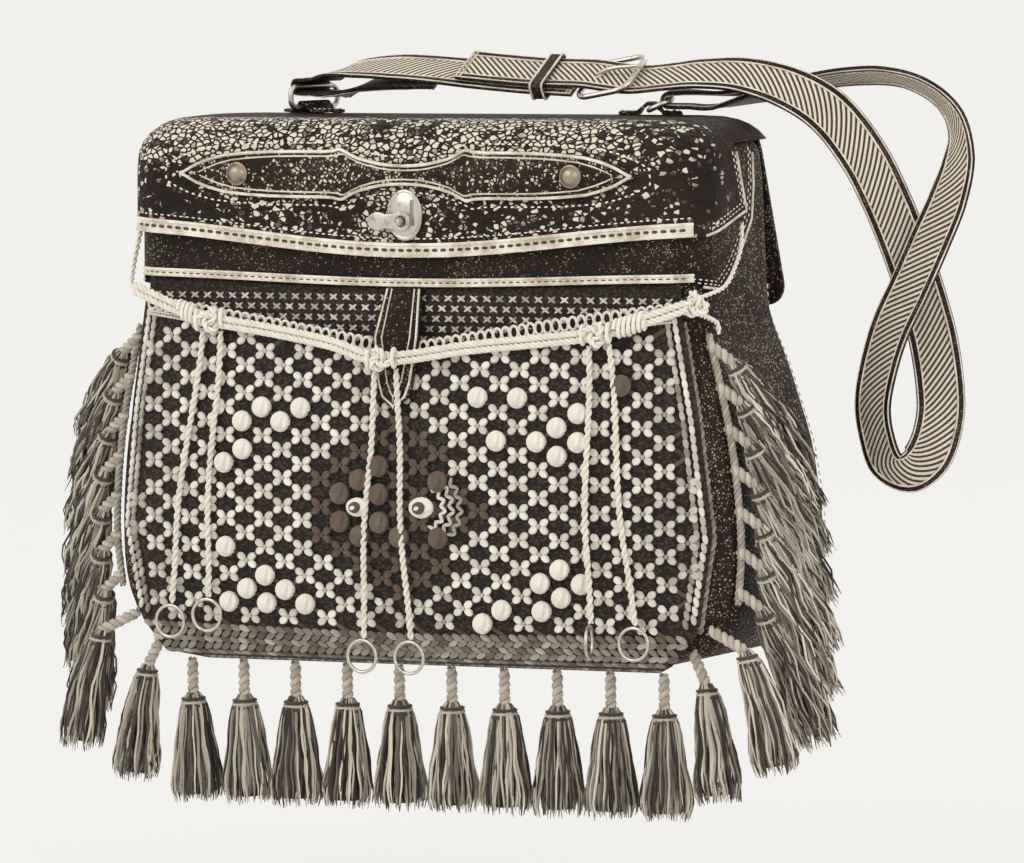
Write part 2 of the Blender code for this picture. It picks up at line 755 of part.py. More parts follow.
def make_drawcord():
    points = [Vector((row.x, string_y(row.x, row.z, row.stand), row.z)) for row in STRING_ROWS]
    path = smooth_path(points, 2)
    for point in path:
        point.y = min(point.y, string_y(point.x, point.z, 0.0))
    bm = bmesh.new()
    rings = []
    for number, point in enumerate(path):
        ahead = path[min(number + 1, len(path) - 1)] - path[max(number - 1, 0)]
        up = Vector((0, -1, 0)).cross(ahead).normalized()
        ring = []
        for i in range(6):
            angle = 2 * math.pi * i / 6
            ring.append(point + up * DRAWCORD_DIAMETER * 0.98 * math.cos(angle)
                        + Vector((0, DRAWCORD_DIAMETER / 2 * math.sin(angle), 0)))
        rings.append(ring)
    loft(bm, rings, close_start=True, close_end=True)
    string = place("drawcord", bm, cord_yarn, smooth=True)
    for number, row in enumerate(KNOTS):
        ball = bmesh.new()
        bmesh.ops.create_uvsphere(ball, u_segments=8, v_segments=5, radius=KNOT_RADIUS)
        centre = Vector((row.x, string_y(row.x, row.z, row.stand) - KNOT_RADIUS * 0.35, row.z))
        bmesh.ops.scale(ball, vec=KNOT_SHAPE, verts=ball.verts)
        bmesh.ops.translate(ball, vec=centre, verts=ball.verts)
        cut(string, place("knot_%d" % number, ball, cord_yarn, tools), "UNION")
    return string


make_drawcord()


# Thin cords hanging from the knots, each with a ring

CordRow = namedtuple("CordRow", "name knot start_x end_x end_z stand turn")
CORD_ROWS = [
    CordRow("1", 0, -0.1145, -0.1360, -0.2560, 0.000, 0),
    CordRow("2", 0, -0.1040, -0.1130, -0.2520, 0.000, 0),
    CordRow("3", 1, -0.0130, -0.0220, -0.2700, 0.000, 0),
    CordRow("4", 1, -0.0010, 0.0050, -0.2700, 0.000, 0),
    CordRow("5", 2, 0.1060, 0.1070, -0.2590, 0.003, 105),
    CordRow("6", 2, 0.1170, 0.1290, -0.2600, 0.000, 0),
]
CORD_CLEAR = 0.0004
CORD_PLUMB_DROP = 0.215
CORD_SWAY = 0.0012


def cord_y(x, z):
    """A hanging cord lies just in front of the net, and straight down from its belly."""
    low = -CORD_PLUMB_DROP
    over = TAB_THICKNESS + GAP if abs(x - TAB_X) < TAB_FLARE and z > -TAB_TIP_DROP - CORD_DIAMETER else 0.0
    return net_face_y(x, max(z, low)) - CORD_DIAMETER / 2 - CORD_CLEAR - over


for row in CORD_ROWS:
    knot = KNOTS[row.knot]
    beside = min(1.0, abs(row.start_x - knot.x) / (KNOT_RADIUS * KNOT_SHAPE[0]))
    top_z = knot.z - KNOT_RADIUS * KNOT_SHAPE[2] * math.sqrt(1 - beside ** 2) - GAP
    ring_top = row.end_z + RING_RADIUS + RING_WIRE / 2 + GAP
    route = []
    count = 8
    for i in range(count):
        t = i / (count - 1)
        x = row.start_x + (row.end_x - row.start_x) * t + CORD_SWAY * math.sin(2.5 * math.pi * t)
        z = top_z + (ring_top - top_z) * t
        route.append(Vector((x, cord_y(x, z) - row.stand * t, z)))
    wire("cord_" + row.name, smooth_path(route, 2), CORD_DIAMETER, cord_yarn)
    bpy.ops.mesh.primitive_torus_add(
        major_segments=10, minor_segments=4, major_radius=RING_RADIUS, minor_radius=RING_WIRE / 2,
        location=(row.end_x, route[-1].y, row.end_z),
        rotation=(math.radians(90), 0, math.radians(row.turn)))
    ring = bpy.context.active_object
    ring.name = "ring_" + row.name
    ring.data.materials.append(bright_metal)
    ring.data.shade_smooth()
    for home in list(ring.users_collection):
        home.objects.unlink(ring)
    pouch.objects.link(ring)


# Tassels: a twisted stem and a skirt of locks, which hangs from a short neck

LockRow = namedtuple("LockRow", "down radius")
LOCK_ROWS = [
    LockRow(0.00, 0.36), LockRow(0.14, 0.54), LockRow(0.50, 0.78), LockRow(0.88, 1.00), LockRow(1.00, 0.90),
]
STEM_RADIUS = 0.0032
ROOT_INSET = 0.006


def tassel_rings(root, stem_way, hang_way, stem, skirt, radius, sides):
    """Rings of one tassel; the skirt's points alternate, which parts it in locks."""
    rings = []
    way = stem_way.normalized()
    neck = root + way * stem
    fall = hang_way.normalized()

    def ring(centre, axis, size, lobed):
        side = axis.cross(Vector((0, 1, 0.2))).normalized()
        other = axis.cross(side).normalized()
        points = []
        for i in range(sides):
            reach = size * (1.0 if i % 2 == 0 or not lobed else 0.80)
            angle = 2 * math.pi * i / sides
            points.append(centre + side * reach * math.cos(angle) + other * reach * math.sin(angle))
        return points

    rings.append(ring(root, way, STEM_RADIUS, False))
    for row in LOCK_ROWS:
        bend = way.lerp(fall, min(1.0, 0.3 + row.down))
        centre = neck + way * skirt * 0.25 * min(row.down, 0.4) + fall * skirt * row.down
        rings.append(ring(centre, bend.normalized(), radius * row.radius, row.down > 0.2))
    return rings


def tassel(name, root, stem_way, hang_way, stem=TASSEL_STEM, skirt=TASSEL_SKIRT, radius=TASSEL_RADIUS,
           sides=8, collection=None):
    bm = bmesh.new()
    loft(bm, tassel_rings(Vector(root), Vector(stem_way), Vector(hang_way), stem, skirt, radius, sides),
         close_start=True, close_end=True)
    return place(name, bm, tassel_yarn, collection, smooth=True)


def corner_point(z, degrees, out):
    """A place off the bag's rounded front right corner; 0 degrees is the side, 90 the front."""
    half, front, _ = section_at(z)
    angle = math.radians(degrees)
    return Vector((half - CORNER + (CORNER + out) * math.cos(angle),
                   front + CORNER - (CORNER + out) * math.sin(angle), z))


BOTTOM_ROOT_Y = FRONT_Y + ROOT_INSET
fold, hem = net_point(0, NET_ROWS[-2].down), net_point(0, 1.0)
hem_slope = (fold.z - hem.z) / (hem.y - fold.y)
hem_under = fold.z - hem_slope * (BOTTOM_ROOT_Y - fold.y) - NET_WALL * math.sqrt(1 + hem_slope ** 2)
BOTTOM_ROOT_Z = hem_under - STEM_RADIUS * hem_slope - GAP
for number in range(BOTTOM_TASSELS):
    x = (number - (BOTTOM_TASSELS - 1) / 2) * TASSEL_SPACING
    rise = 0.0005 if abs(x) > NET_HALF_WIDTH * NET_ROWS[-1].half_width else 0.0
    tassel("tassel_%02d" % (number + 1), (x, BOTTOM_ROOT_Y, BOTTOM_ROOT_Z + rise), (0, 0, -1), (0, 0, -1))

# Two tassels stand off each lower corner, on the curve between bottom and side
CornerRow = namedtuple("CornerRow", "z out down stem skirt lean back")
CORNER_ROWS = [
    CornerRow(-0.2665, 0.45, -0.90, 0.016, 0.053, 0.10, -0.04),
    CornerRow(-0.2540, 0.95, -0.45, 0.021, 0.058, 0.18, 0.05),
]
number = BOTTOM_TASSELS
for row in CORNER_ROWS:
    for sign in (-1, 1):
        number += 1
        root = corner_point(row.z, 60, STEM_RADIUS * 0.70 + GAP)
        tassel("tassel_%02d" % number, (sign * root.x, root.y, root.z), (sign * row.out, -0.10, row.down),
               (sign * row.lean, row.back, -1), stem=row.stem, skirt=row.skirt, radius=TASSEL_RADIUS * 0.92)


def make_fringe(name, sign, lean):
    """Side tassels, fused to a braid along the bag's front edge."""
    braid = []
    for i in range(6):
        z = -SEAM_TOP_DROP + SEAM_LEAD - i / 5 * (SEAM_STEP * (SIDE_TASSELS - 1) + 2 * SEAM_LEAD)
        spot = corner_point(z, 30, BRAID_DIAMETER / 2 + BRAID_CLEAR)
        braid.append(Vector((sign * spot.x, spot.y, z)))
    edge = as_mesh(wire(name, braid, BRAID_DIAMETER, tassel_yarn, resolution=1))
    for i in range(SIDE_TASSELS):
        z = -SEAM_TOP_DROP - i * SEAM_STEP
        root = corner_point(z, 30, BRAID_DIAMETER / 2 + BRAID_CLEAR)
        share = i / (SIDE_TASSELS - 1)
        lock = tassel("%s_lock_%d" % (name, i),
                      (sign * root.x, root.y, z),
                      (sign * 0.80, 0.20, -0.62), (sign * (lean - SIDE_LEAN_FALL * share), 0.45, -1),
                      stem=SIDE_STEM, skirt=SIDE_SKIRT + SIDE_SKIRT_GROWTH * share, radius=SIDE_RADIUS,
                      sides=6, collection=tools)
        cut(edge, lock, "UNION")
    return edge


make_fringe("fringe_left", -1, SIDE_LEAN_LEFT)
make_fringe("fringe_right", 1, SIDE_LEAN_RIGHT)


# The strap's rings stand in leather lugs on the lid; each is turned, and the right one leans over

RING_BAR_Z = D_RING_WIRE / 2 + RING_STAND
RingRow = namedtuple("RingRow", "suffix sign turn lean")
RING_ROWS = [RingRow("left", -1, 68, 0), RingRow("right", 1, 112, 65)]


def ring_axes(row):
    """Base of a ring, the way along its bars, the way across it and the way up its plane."""
    turn, lean = math.radians(row.turn), math.radians(row.lean)
    base = Vector((row.sign * D_RING_X, D_RING_Y, RING_BAR_Z))
    along_bar = Vector((math.cos(turn), math.sin(turn), 0))
    across = Vector((math.sin(turn), -math.cos(turn), 0))
    up = across * math.sin(lean) + Vector((0, 0, math.cos(lean)))
    return base, along_bar, across, up


def rounded_frame(centre, along, across, half_a, half_b, radius):
    """Points of an oblong wire frame with round corners."""
    points = []
    corners = [(half_a - radius, half_b - radius, 0), (radius - half_a, half_b - radius, 90),
               (radius - half_a, radius - half_b, 180), (half_a - radius, radius - half_b, 270)]
    for a, b, start in corners:
        for step in range(4):
            turn = math.radians(start + 30 * step)
            points.append(centre + along * (a + radius * math.cos(turn))
                          + across * (b + radius * math.sin(turn)))
    return points


def make_d_ring(row):
    base, along_bar, _, up = ring_axes(row)
    centre = base + up * D_RING_HEIGHT / 2
    points = rounded_frame(centre, along_bar, up, (D_RING_WIDTH + D_RING_WIRE) / 2, D_RING_HEIGHT / 2,
                           D_RING_CORNER)
    return wire("d_ring_" + row.suffix, points, D_RING_WIRE, bright_metal, cyclic=True, resolution=1)


def lid_top(y):
    """Height of the lid's top over the rounded back edge."""
    across_r, down_r = BACK_ROUNDING + FLAP_OUT + WALL, TOP_ROUNDING + FLAP_OUT + WALL
    past = y - (section_at(0.0)[2] + FLAP_OUT + WALL - across_r)
    return 0.0 if past < 0 else -down_r * (1 - math.sqrt(max(0.0, 1 - (past / across_r) ** 2)))


def make_lug(row):
    """A short leather strip humped over the ring's lower bar, lying on the lid."""
    base, along_bar, across, _ = ring_axes(row)
    hump = RING_BAR_Z + D_RING_WIRE / 2 + GAP
    half = D_RING_WIRE / 2 + GAP + LUG_CLEAR
    profile = [(-LUG_LENGTH / 2, GAP), (-half - LUG_RAMP, GAP), (-half, hump * 0.8), (-half * 0.6, hump),
               (half * 0.6, hump), (half, hump * 0.8), (half + LUG_RAMP, GAP), (LUG_LENGTH / 2, GAP)]
    bm = bmesh.new()
    rows = []
    for side in (1, 0, -1):
        rows.append([])
        for a, up in profile:
            spot = Vector((base.x, base.y, 0)) + across * a + along_bar * side * LUG_WIDTH / 2
            spot.z = up if up > hump / 2 else lid_top(spot.y) * 0.75 + up
            rows[-1].append(spot)
    sheet(bm, rows)
    return thicken(place("lug_" + row.suffix, bm, dark_leather, facing=(0, 0, 1)), LUG_THICKNESS, 1)


for row in RING_ROWS:
    make_d_ring(row)
    make_lug(row)


# The strap: a ribbon through chosen places, each a share of its reach, with its roll in degrees.
# Level is the way that a roll of 90 lays its width: 90 is straight back.

StrapRow = namedtuple("StrapRow", "x y z roll level")
WRAP_REACH = 0.020
WRAP = D_RING_WIRE / 2 + GAP + STRAP_THICKNESS / 2 + 0.0003


def wrap_rows(row, reach_out):
    """The strap's turn round a ring's upper bar: in above it, round, and back out below it."""
    base, _, across, up = ring_axes(row)
    bar = base + up * D_RING_HEIGHT
    rows = []
    spots = [(reach_out * 0.45, WRAP * 1.15)]
    spots += [(WRAP * math.cos(math.radians(a)), WRAP * math.sin(math.radians(a)))
              for a in (90, 135, 180, 225, 270)]
    spots += [(reach_out * 0.45, -WRAP * 1.10), (reach_out, -WRAP * 1.25)]
    for out, high in spots:
        spot = (bar + across * out + Vector((0, 0, high))) / STRAP_REACH
        rows.append(StrapRow(spot.x, spot.y, spot.z, 90, row.turn))
    return rows


SHORT_ROWS = [
    StrapRow(0.232, -0.096, 0.064, 120, 90),
    StrapRow(0.120, -0.096, 0.070, 120, 90),
    StrapRow(0.000, -0.096, 0.080, 120, 90),
    StrapRow(-0.100, -0.096, 0.089, 118, 90),
    StrapRow(-0.190, -0.100, 0.094, 116, 88),
    StrapRow(-0.270, -0.108, 0.092, 108, 82),
    StrapRow(-0.322, -0.110, 0.084, 98, 74),
]
SHORT_ROWS += wrap_rows(RING_ROWS[0], WRAP_REACH)
SHORT_ROWS += [StrapRow(-0.240, -0.106, 0.060, 76, 82), StrapRow(-0.150, -0.098, 0.073, 66, 88)]
LONG_ROWS = [
    StrapRow(-0.032, -0.096, 0.0985, 60, 90),
    StrapRow(0.080, -0.096, 0.089, 60, 90),
    StrapRow(0.160, -0.096, 0.084, 60, 90),
    StrapRow(0.248, -0.096, 0.082, 60, 90),
    StrapRow(0.304, -0.096, 0.0755, 60, 90),
    StrapRow(0.360, -0.096, 0.070, 60, 90),
    StrapRow(0.430, -0.096, 0.076, 60, 90),
    StrapRow(0.504, -0.096, 0.083, 58, 90),
    StrapRow(0.600, -0.092, 0.080, 52, 90),
    StrapRow(0.700, -0.088, 0.054, 42, 90),
    StrapRow(0.785, -0.080, 0.004, 32, 90),
    StrapRow(0.850, -0.065, -0.080, 26, 90),
    StrapRow(0.890, -0.045, -0.170, 24, 90),
    StrapRow(0.918, -0.012, -0.272, 24, 90),
    StrapRow(0.938, 0.012, -0.364, 26, 90),
    StrapRow(0.953, 0.034, -0.453, 30, 90),
    StrapRow(0.963, 0.042, -0.543, 34, 90),
    StrapRow(0.962, 0.044, -0.615, 36, 90),
    StrapRow(0.948, 0.024, -0.684, 34, 90),
    StrapRow(0.916, 0.000, -0.719, 30, 90),
    StrapRow(0.876, -0.024, -0.707, 26, 90),
    StrapRow(0.860, -0.040, -0.649, 22, 90),
    StrapRow(0.856, -0.048, -0.584, 20, 90),
    StrapRow(0.872, -0.052, -0.510, 18, 90),
    StrapRow(0.902, -0.056, -0.428, 16, 90),
    StrapRow(0.946, -0.056, -0.344, 14, 90),
    StrapRow(0.990, -0.056, -0.256, 14, 90),
    StrapRow(1.030, -0.052, -0.170, 18, 90),
    StrapRow(1.050, -0.040, -0.090, 28, 90),
    StrapRow(1.036, -0.020, -0.018, 42, 90),
    StrapRow(0.978, 0.000, 0.040, 56, 90),
    StrapRow(0.890, 0.010, 0.072, 66, 90),
    StrapRow(0.796, 0.010, 0.074, 70, 90),
    StrapRow(0.700, 0.006, 0.062, 74, 92),
    StrapRow(0.604, -0.004, 0.046, 80, 98),
    StrapRow(0.524, -0.018, 0.040, 86, 106),
]
LONG_ROWS += wrap_rows(RING_ROWS[1], WRAP_REACH * 1.1)


def ribbon(name, rows, material):
    """A flat strap of even width through its rows."""
    spots = [Vector(row[:3]) * STRAP_REACH for row in rows]
    edges = []
    for number, (row, spot) in enumerate(zip(rows, spots)):
        tangent = (spots[min(number + 1, len(spots) - 1)] - spots[max(number - 1, 0)]).normalized()
        level = Vector((math.cos(math.radians(row.level)), math.sin(math.radians(row.level)), 0))
        upright = tangent.cross(level).normalized()
        across = upright * math.cos(math.radians(row.roll)) + level * math.sin(math.radians(row.roll))
        across = (across - tangent * across.dot(tangent)).normalized() * STRAP_WIDTH / 2
        edges.append((spot - across, spot + across))
    bm = bmesh.new()
    sheet(bm, edges)
    return thicken(place(name, bm, material, smooth=True), STRAP_THICKNESS, 0)


ribbon("strap_short", SHORT_ROWS, webbing)
ribbon("strap_long", LONG_ROWS, webbing)

ROLL = math.radians(LONG_ROWS[2].roll)
STRAP_ACROSS = Vector((0, math.sin(ROLL), math.cos(ROLL)))
STRAP_OUT = Vector((0, -math.cos(ROLL), math.sin(ROLL)))


def make_buckle():
    """An oblong wire frame; the strap comes in over its left bar and goes out under its right one."""
    centre = Vector((LONG_ROWS[4].x, LONG_ROWS[4].y, LONG_ROWS[4].z)) * STRAP_REACH
    along = Vector((math.cos(BUCKLE_TILT), 0, math.sin(BUCKLE_TILT)))
    points = rounded_frame(centre, along, STRAP_ACROSS, BUCKLE_LENGTH / 2, BUCKLE_WIDTH / 2, BUCKLE_CORNER)
    return wire("buckle_frame", points, BUCKLE_WIRE, bright_metal, cyclic=True, resolution=1)


make_buckle()


def make_keeper():
    """A short leather band round both layers of the strap."""
    upper, lower = LONG_ROWS[2], SHORT_ROWS[1]
    low_z = lower.z - 0.002
    centre = Vector((upper.x, upper.y, (upper.z + low_z) / 2)) * STRAP_REACH
    half_w = STRAP_WIDTH / 2 + KEEPER_CLEAR
    half_t = (upper.z - low_z) / 2 * STRAP_REACH + STRAP_THICKNESS / 2 + GAP / 2
    bm = bmesh.new()
    corners = [(half_w, half_t), (-half_w, half_t), (-half_w, -half_t), (half_w, -half_t)]
    loft(bm, [[centre + Vector((side * KEEPER_LENGTH / 2, 0, 0)) + STRAP_ACROSS * a + STRAP_OUT * b
               for a, b in corners] for side in (-1, 1)])
    return thicken(place("strap_keeper", bm, dark_leather), KEEPER_THICKNESS, 1)


make_keeper()
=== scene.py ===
import math
import random

import bpy
import numpy as np
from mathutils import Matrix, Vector, noise


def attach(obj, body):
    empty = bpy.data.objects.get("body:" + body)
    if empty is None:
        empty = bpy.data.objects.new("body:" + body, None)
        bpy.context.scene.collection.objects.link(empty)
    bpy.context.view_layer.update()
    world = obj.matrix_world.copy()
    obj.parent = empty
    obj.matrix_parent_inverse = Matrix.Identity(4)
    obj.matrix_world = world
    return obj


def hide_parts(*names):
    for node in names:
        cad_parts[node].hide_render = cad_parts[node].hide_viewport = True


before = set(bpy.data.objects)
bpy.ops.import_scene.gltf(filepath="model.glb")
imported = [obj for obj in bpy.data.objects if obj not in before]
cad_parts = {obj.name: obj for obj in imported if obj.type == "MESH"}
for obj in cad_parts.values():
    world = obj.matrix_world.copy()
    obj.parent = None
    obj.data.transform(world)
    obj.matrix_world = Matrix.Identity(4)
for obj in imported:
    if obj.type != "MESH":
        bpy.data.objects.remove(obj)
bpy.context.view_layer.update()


# Camera, floor and light. The pouch is held up just above a pale sheet, and a long lens a little
# above it looks at the front from its right side. Broad soft lamps leave no hard shadow.

VIEW_TURN, VIEW_RISE, VIEW_REACH = math.radians(27.5), math.radians(4.3), 5.000
aim = Vector((0.020, -0.060, -0.150))
eye = Vector((math.sin(VIEW_TURN) * math.cos(VIEW_RISE), -math.cos(VIEW_TURN) * math.cos(VIEW_RISE),
              math.sin(VIEW_RISE)))
bpy.ops.object.camera_add(location=aim + eye * VIEW_REACH, rotation=eye.to_track_quat("Z", "Y").to_euler())
camera = bpy.context.object
camera.name = "camera"
camera.rotation_euler.rotate_axis("Z", math.radians(-1.0))
camera.data.sensor_width = 36
camera.data.lens = 346.0
camera.data.shift_x = 0.0245
camera.data.shift_y = -0.0190
camera.data.clip_end = 400
bpy.context.scene.camera = camera
bpy.context.scene.view_settings.view_transform = "Standard"


def lamp(name, place, size, watts, colour):
    bpy.ops.object.light_add(type="AREA", location=place)
    light = bpy.context.object
    light.name = name
    light.rotation_euler = (Vector(place) - aim).to_track_quat("Z", "Y").to_euler()
    light.data.size = size
    light.data.energy = watts
    light.data.color = colour


lamp("key_light", (-0.9, -1.9, 1.3), 1.3, 17, (1.0, 0.98, 0.95))
lamp("side_light", (2.0, -0.7, 0.7), 1.5, 8.5, (0.97, 0.98, 1.0))
lamp("back_light", (0.3, 1.8, 1.1), 1.4, 7, (1.0, 0.98, 0.96))

world = bpy.data.worlds.new("studio")
world.use_nodes = True
world.node_tree.nodes["Background"].inputs["Color"].default_value = (0.885, 0.870, 0.840, 1)
world.node_tree.nodes["Background"].inputs["Strength"].default_value = 1.0
bpy.context.scene.world = world

bpy.ops.object.select_all(action="DESELECT")
bpy.ops.mesh.primitive_plane_add(size=240.0, location=(0, 0, -0.392))
floor = bpy.context.object
floor.name = "floor"
bpy.ops.object.transform_apply()
paper = bpy.data.materials.new("pale_sheet")
paper.use_nodes = True
paper_surface = paper.node_tree.nodes["Principled BSDF"]
paper_surface.inputs["Base Color"].default_value = (0.06, 0.058, 0.055, 1)
paper_surface.inputs["Roughness"].default_value = 1.0
paper_surface.inputs["Specular IOR Level"].default_value = 0.0
paper_surface.inputs["Emission Color"].default_value = (0.832, 0.818, 0.790, 1)
paper_surface.inputs["Emission Strength"].default_value = 1.0
floor.data.materials.append(paper)


# Hanging cords. Six limp cotton cords are tied into the drawstring's knots, two to a knot, and hang
# in front of the net. Each is laid up from two plies and ends in a bright wire ring.

GAP = 0.0004
WALL = 0.0025
LID_GAP = 0.0010
HALF_WIDTH = 0.178
HEIGHT = 0.275
DEPTH = 0.119
FRONT_Y = -0.100
NET_HALF_WIDTH = 0.168
NET_WALL = 0.003
NET_BULGE = 0.013
NET_TOP_DROP = 0.089
NET_TOP_SAG = 0.024
NET_BOTTOM_DROP = 0.2765
NET_BACK_WALL = 0.002
TAB_X = -0.003
TAB_FLARE = 0.026
TAB_TIP_DROP = 0.145
TAB_THICKNESS = 0.0022
DRAWCORD_DIAMETER = 0.0036
CORD_DIAMETER = 0.0035
CORD_CLEAR = 0.0004
RING_RADIUS = 0.0081
RING_WIRE = 0.0018
KNOT_RADIUS = 0.0075
KNOT_SHAPE = (1.15, 0.50, 0.95)
NET_ROWS = [
    (0.00, 0.905, 0.45), (0.30, 0.960, 0.95), (0.62, 1.000, 1.00), (0.88, 0.950, 0.65), (0.97, 0.870, 0.15),
    (1.00, 0.770, -1.30),
]
STRING_ROWS = [
    (-0.157, -0.086, 0.000), (-0.135, -0.094, 0.001), (-0.109, -0.101, 0.002), (-0.075, -0.106, 0.001),
    (-0.040, -0.112, 0.001), (-0.007, -0.119, 0.004), (0.040, -0.113, 0.001), (0.080, -0.109, 0.001),
    (0.111, -0.105, 0.002), (0.140, -0.097, 0.001), (0.158, -0.091, 0.000),
]
KNOTS = [STRING_ROWS[2], STRING_ROWS[5], STRING_ROWS[8]]
CORD_ROWS = [
    ("1", 0, -0.1145, -0.1360, -0.2560, 0.000, 0), ("2", 0, -0.1040, -0.1130, -0.2520, 0.000, 0),
    ("3", 1, -0.0130, -0.0220, -0.2700, 0.000, 0), ("4", 1, -0.0010, 0.0050, -0.2700, 0.000, 0),
    ("5", 2, 0.1060, 0.1070, -0.2590, 0.003, 105), ("6", 2, 0.1170, 0.1290, -0.2600, 0.000, 0),
]


class Socket:
    """A shader socket that can be used in sums; each sum adds its Math node."""

    def __init__(self, finish, out):
        self.finish, self.out = finish, out

    def sum(self, operation, *values):
        return self.finish.node("Math", {"operation": operation}, values)

    def __add__(self, other):
        return self.sum("ADD", self, other)

    def __sub__(self, other):
        return self.sum("SUBTRACT", self, other)

    def __rsub__(self, other):
        return self.sum("SUBTRACT", other, self)

    def __mul__(self, other):
        return self.sum("MULTIPLY", self, other)

    def __abs__(self):
        return self.sum("ABSOLUTE", self)

    __radd__, __rmul__ = __add__, __mul__

    def step(self, low, high):
        """0 below low and 1 above high, with a soft change between."""
        return self.finish.node("MapRange", {"interpolation_type": "SMOOTHSTEP"}, [self, low, high])


class Finish:
    """A material round one Principled BSDF."""

    def __init__(self, name, **steady):
        self.material = bpy.data.materials.new(name)
        self.material.use_nodes = True
        self.tree = self.material.node_tree
        self.surface = self.tree.nodes["Principled BSDF"]
        for key, value in steady.items():
            self.surface.inputs[key.replace("_", " ").title()].default_value = value

    def node(self, kind, settings=None, values=(), out=0):
        """Add a node: its settings first, then the values or links of its sockets."""
        made = self.tree.nodes.new("ShaderNode" + kind)
        for key, value in (settings or {}).items():
            setattr(made, key, value)
        for place, value in values.items() if isinstance(values, dict) else enumerate(values):
            if isinstance(value, Socket):
                self.tree.links.new(value.out, made.inputs[place])
            else:
                made.inputs[place].default_value = value
        return Socket(self, made.outputs[out])

    def mix(self, factor, a, b):
        return self.node("Mix", {"data_type": "RGBA"}, {0: factor, 6: a, 7: b}, out=2)

    def spots(self, stretch=(1, 1, 1), turn=(0, 0, 0)):
        """Object coordinates, stretched and turned."""
        where = self.node("TexCoord", out=3)
        return self.node("Mapping", {}, {0: where, 2: turn, 3: stretch})

    def noise(self, where, scale, detail=3.0, rough=0.55, out=0):
        return self.node("TexNoise", {}, {"Vector": where, "Scale": scale, "Detail": detail, "Roughness": rough},
                         out=out)

    def cells(self, where, scale, feature="F1", out="Distance"):
        return self.node("TexVoronoi", {"feature": feature}, {"Vector": where, "Scale": scale}, out=out)

    def paint(self, colour=None, rough=None, height=None, depth=0.0005, strength=1.0):
        """Join what changes over the surface to the BSDF."""
        links = self.tree.links
        if colour is not None:
            links.new(colour.out, self.surface.inputs["Base Color"])
        if rough is not None:
            links.new(rough.out, self.surface.inputs["Roughness"])
        if height is not None:
            bump = self.node("Bump", {}, {"Strength": strength, "Distance": depth, "Height": height})
            links.new(bump.out, self.surface.inputs["Normal"])
        return self.material


def yarn(name, dark, light, rough=0.85, fibre=2600, low=0.0):
    """Spun yarn: soft fuzz, with a tone for each strand from the mesh."""
    finish = Finish(name, sheen_weight=0.25, sheen_roughness=0.5)
    where = finish.spots()
    fuzz = finish.noise(where, fibre, 2.0)
    soil = finish.noise(where, 60.0, 3.0)
    tone = finish.node("Attribute", {"attribute_name": "tone"}, out=2)
    shade = tone * 0.75 + fuzz * 0.35 + soil * 0.25 - (0.28 - low)
    return finish.paint(finish.mix(shade.step(0.10, 0.85), (*dark, 1), (*light, 1)),
                        rough=fuzz * 0.15 + (rough - 0.08), height=fuzz, depth=0.0002)


def metal(name, colour, rough=0.26):
    """Polished wire or stamping, dulled a little in patches."""
    finish = Finish(name, metallic=1.0)
    where = finish.spots()
    patch = finish.noise(where, 190.0, 4.0)
    fine = finish.noise(finish.spots((1, 6, 6)), 1500.0, 2.0)
    dull = tuple(c * 0.45 for c in colour)
    return finish.paint(finish.mix(patch.step(0.52, 0.76), (*colour, 1), (*dull, 1)),
                        rough=patch * 0.28 + (rough - 0.08), height=fine, depth=0.00008, strength=0.5)


cord_yarn = yarn("cord_yarn", (0.28, 0.20, 0.12), (0.88, 0.83, 0.73), low=0.16)
bright_metal = metal("bright_metal", (0.62, 0.58, 0.51))


def blend_rows(table, share):
    for low, high in zip(table, table[1:]):
        if share <= high[0]:
            t = max(0.0, (share - low[0]) / (high[0] - low[0]))
            return [a + (b - a) * t for a, b in zip(low, high)]
    return list(table[-1])


def smooth_path(knots, steps):
    """Points of a smooth curve through knots."""
    rows = [Vector(k) for k in knots]
    ends = [rows[0] * 2 - rows[1]] + rows + [rows[-1] * 2 - rows[-2]]
    points = []
    for a, b, c, d in zip(ends, ends[1:], ends[2:], ends[3:]):
        for step in range(steps):
            t = step / steps
            points.append(0.5 * (2 * b + (c - a) * t + (2 * a - 5 * b + 4 * c - d) * t ** 2
                                 + (3 * b - a - 3 * c + d) * t ** 3))
    points.append(rows[-1])
    return points


def even_path(points, step):
    """The same line with points at even distances."""
    line = np.array([tuple(p) for p in points])
    along = np.concatenate([[0], np.cumsum(np.linalg.norm(np.diff(line, axis=0), axis=1))])
    count = max(2, round(along[-1] / step))
    spots = np.linspace(0, along[-1], count + 1)
    return np.stack([np.interp(spots, along, line[:, i]) for i in range(3)], axis=1)


def path_axes(path, up=(0.13, -0.97, 0.2)):
    """Side and rise directions along a path, without twist."""
    ways = np.gradient(path, axis=0)
    ways /= np.maximum(np.linalg.norm(ways, axis=1)[:, None], 1e-9)
    side = np.cross(ways[0], up)
    if np.linalg.norm(side) < 0.05:
        side = np.cross(ways[0], (0.9, 0.1, 0.4))
    sides = []
    for way in ways:
        side = side - way * side.dot(way)
        side = side / np.linalg.norm(side)
        sides.append(side)
    sides = np.array(sides)
    return sides, np.cross(ways, sides)


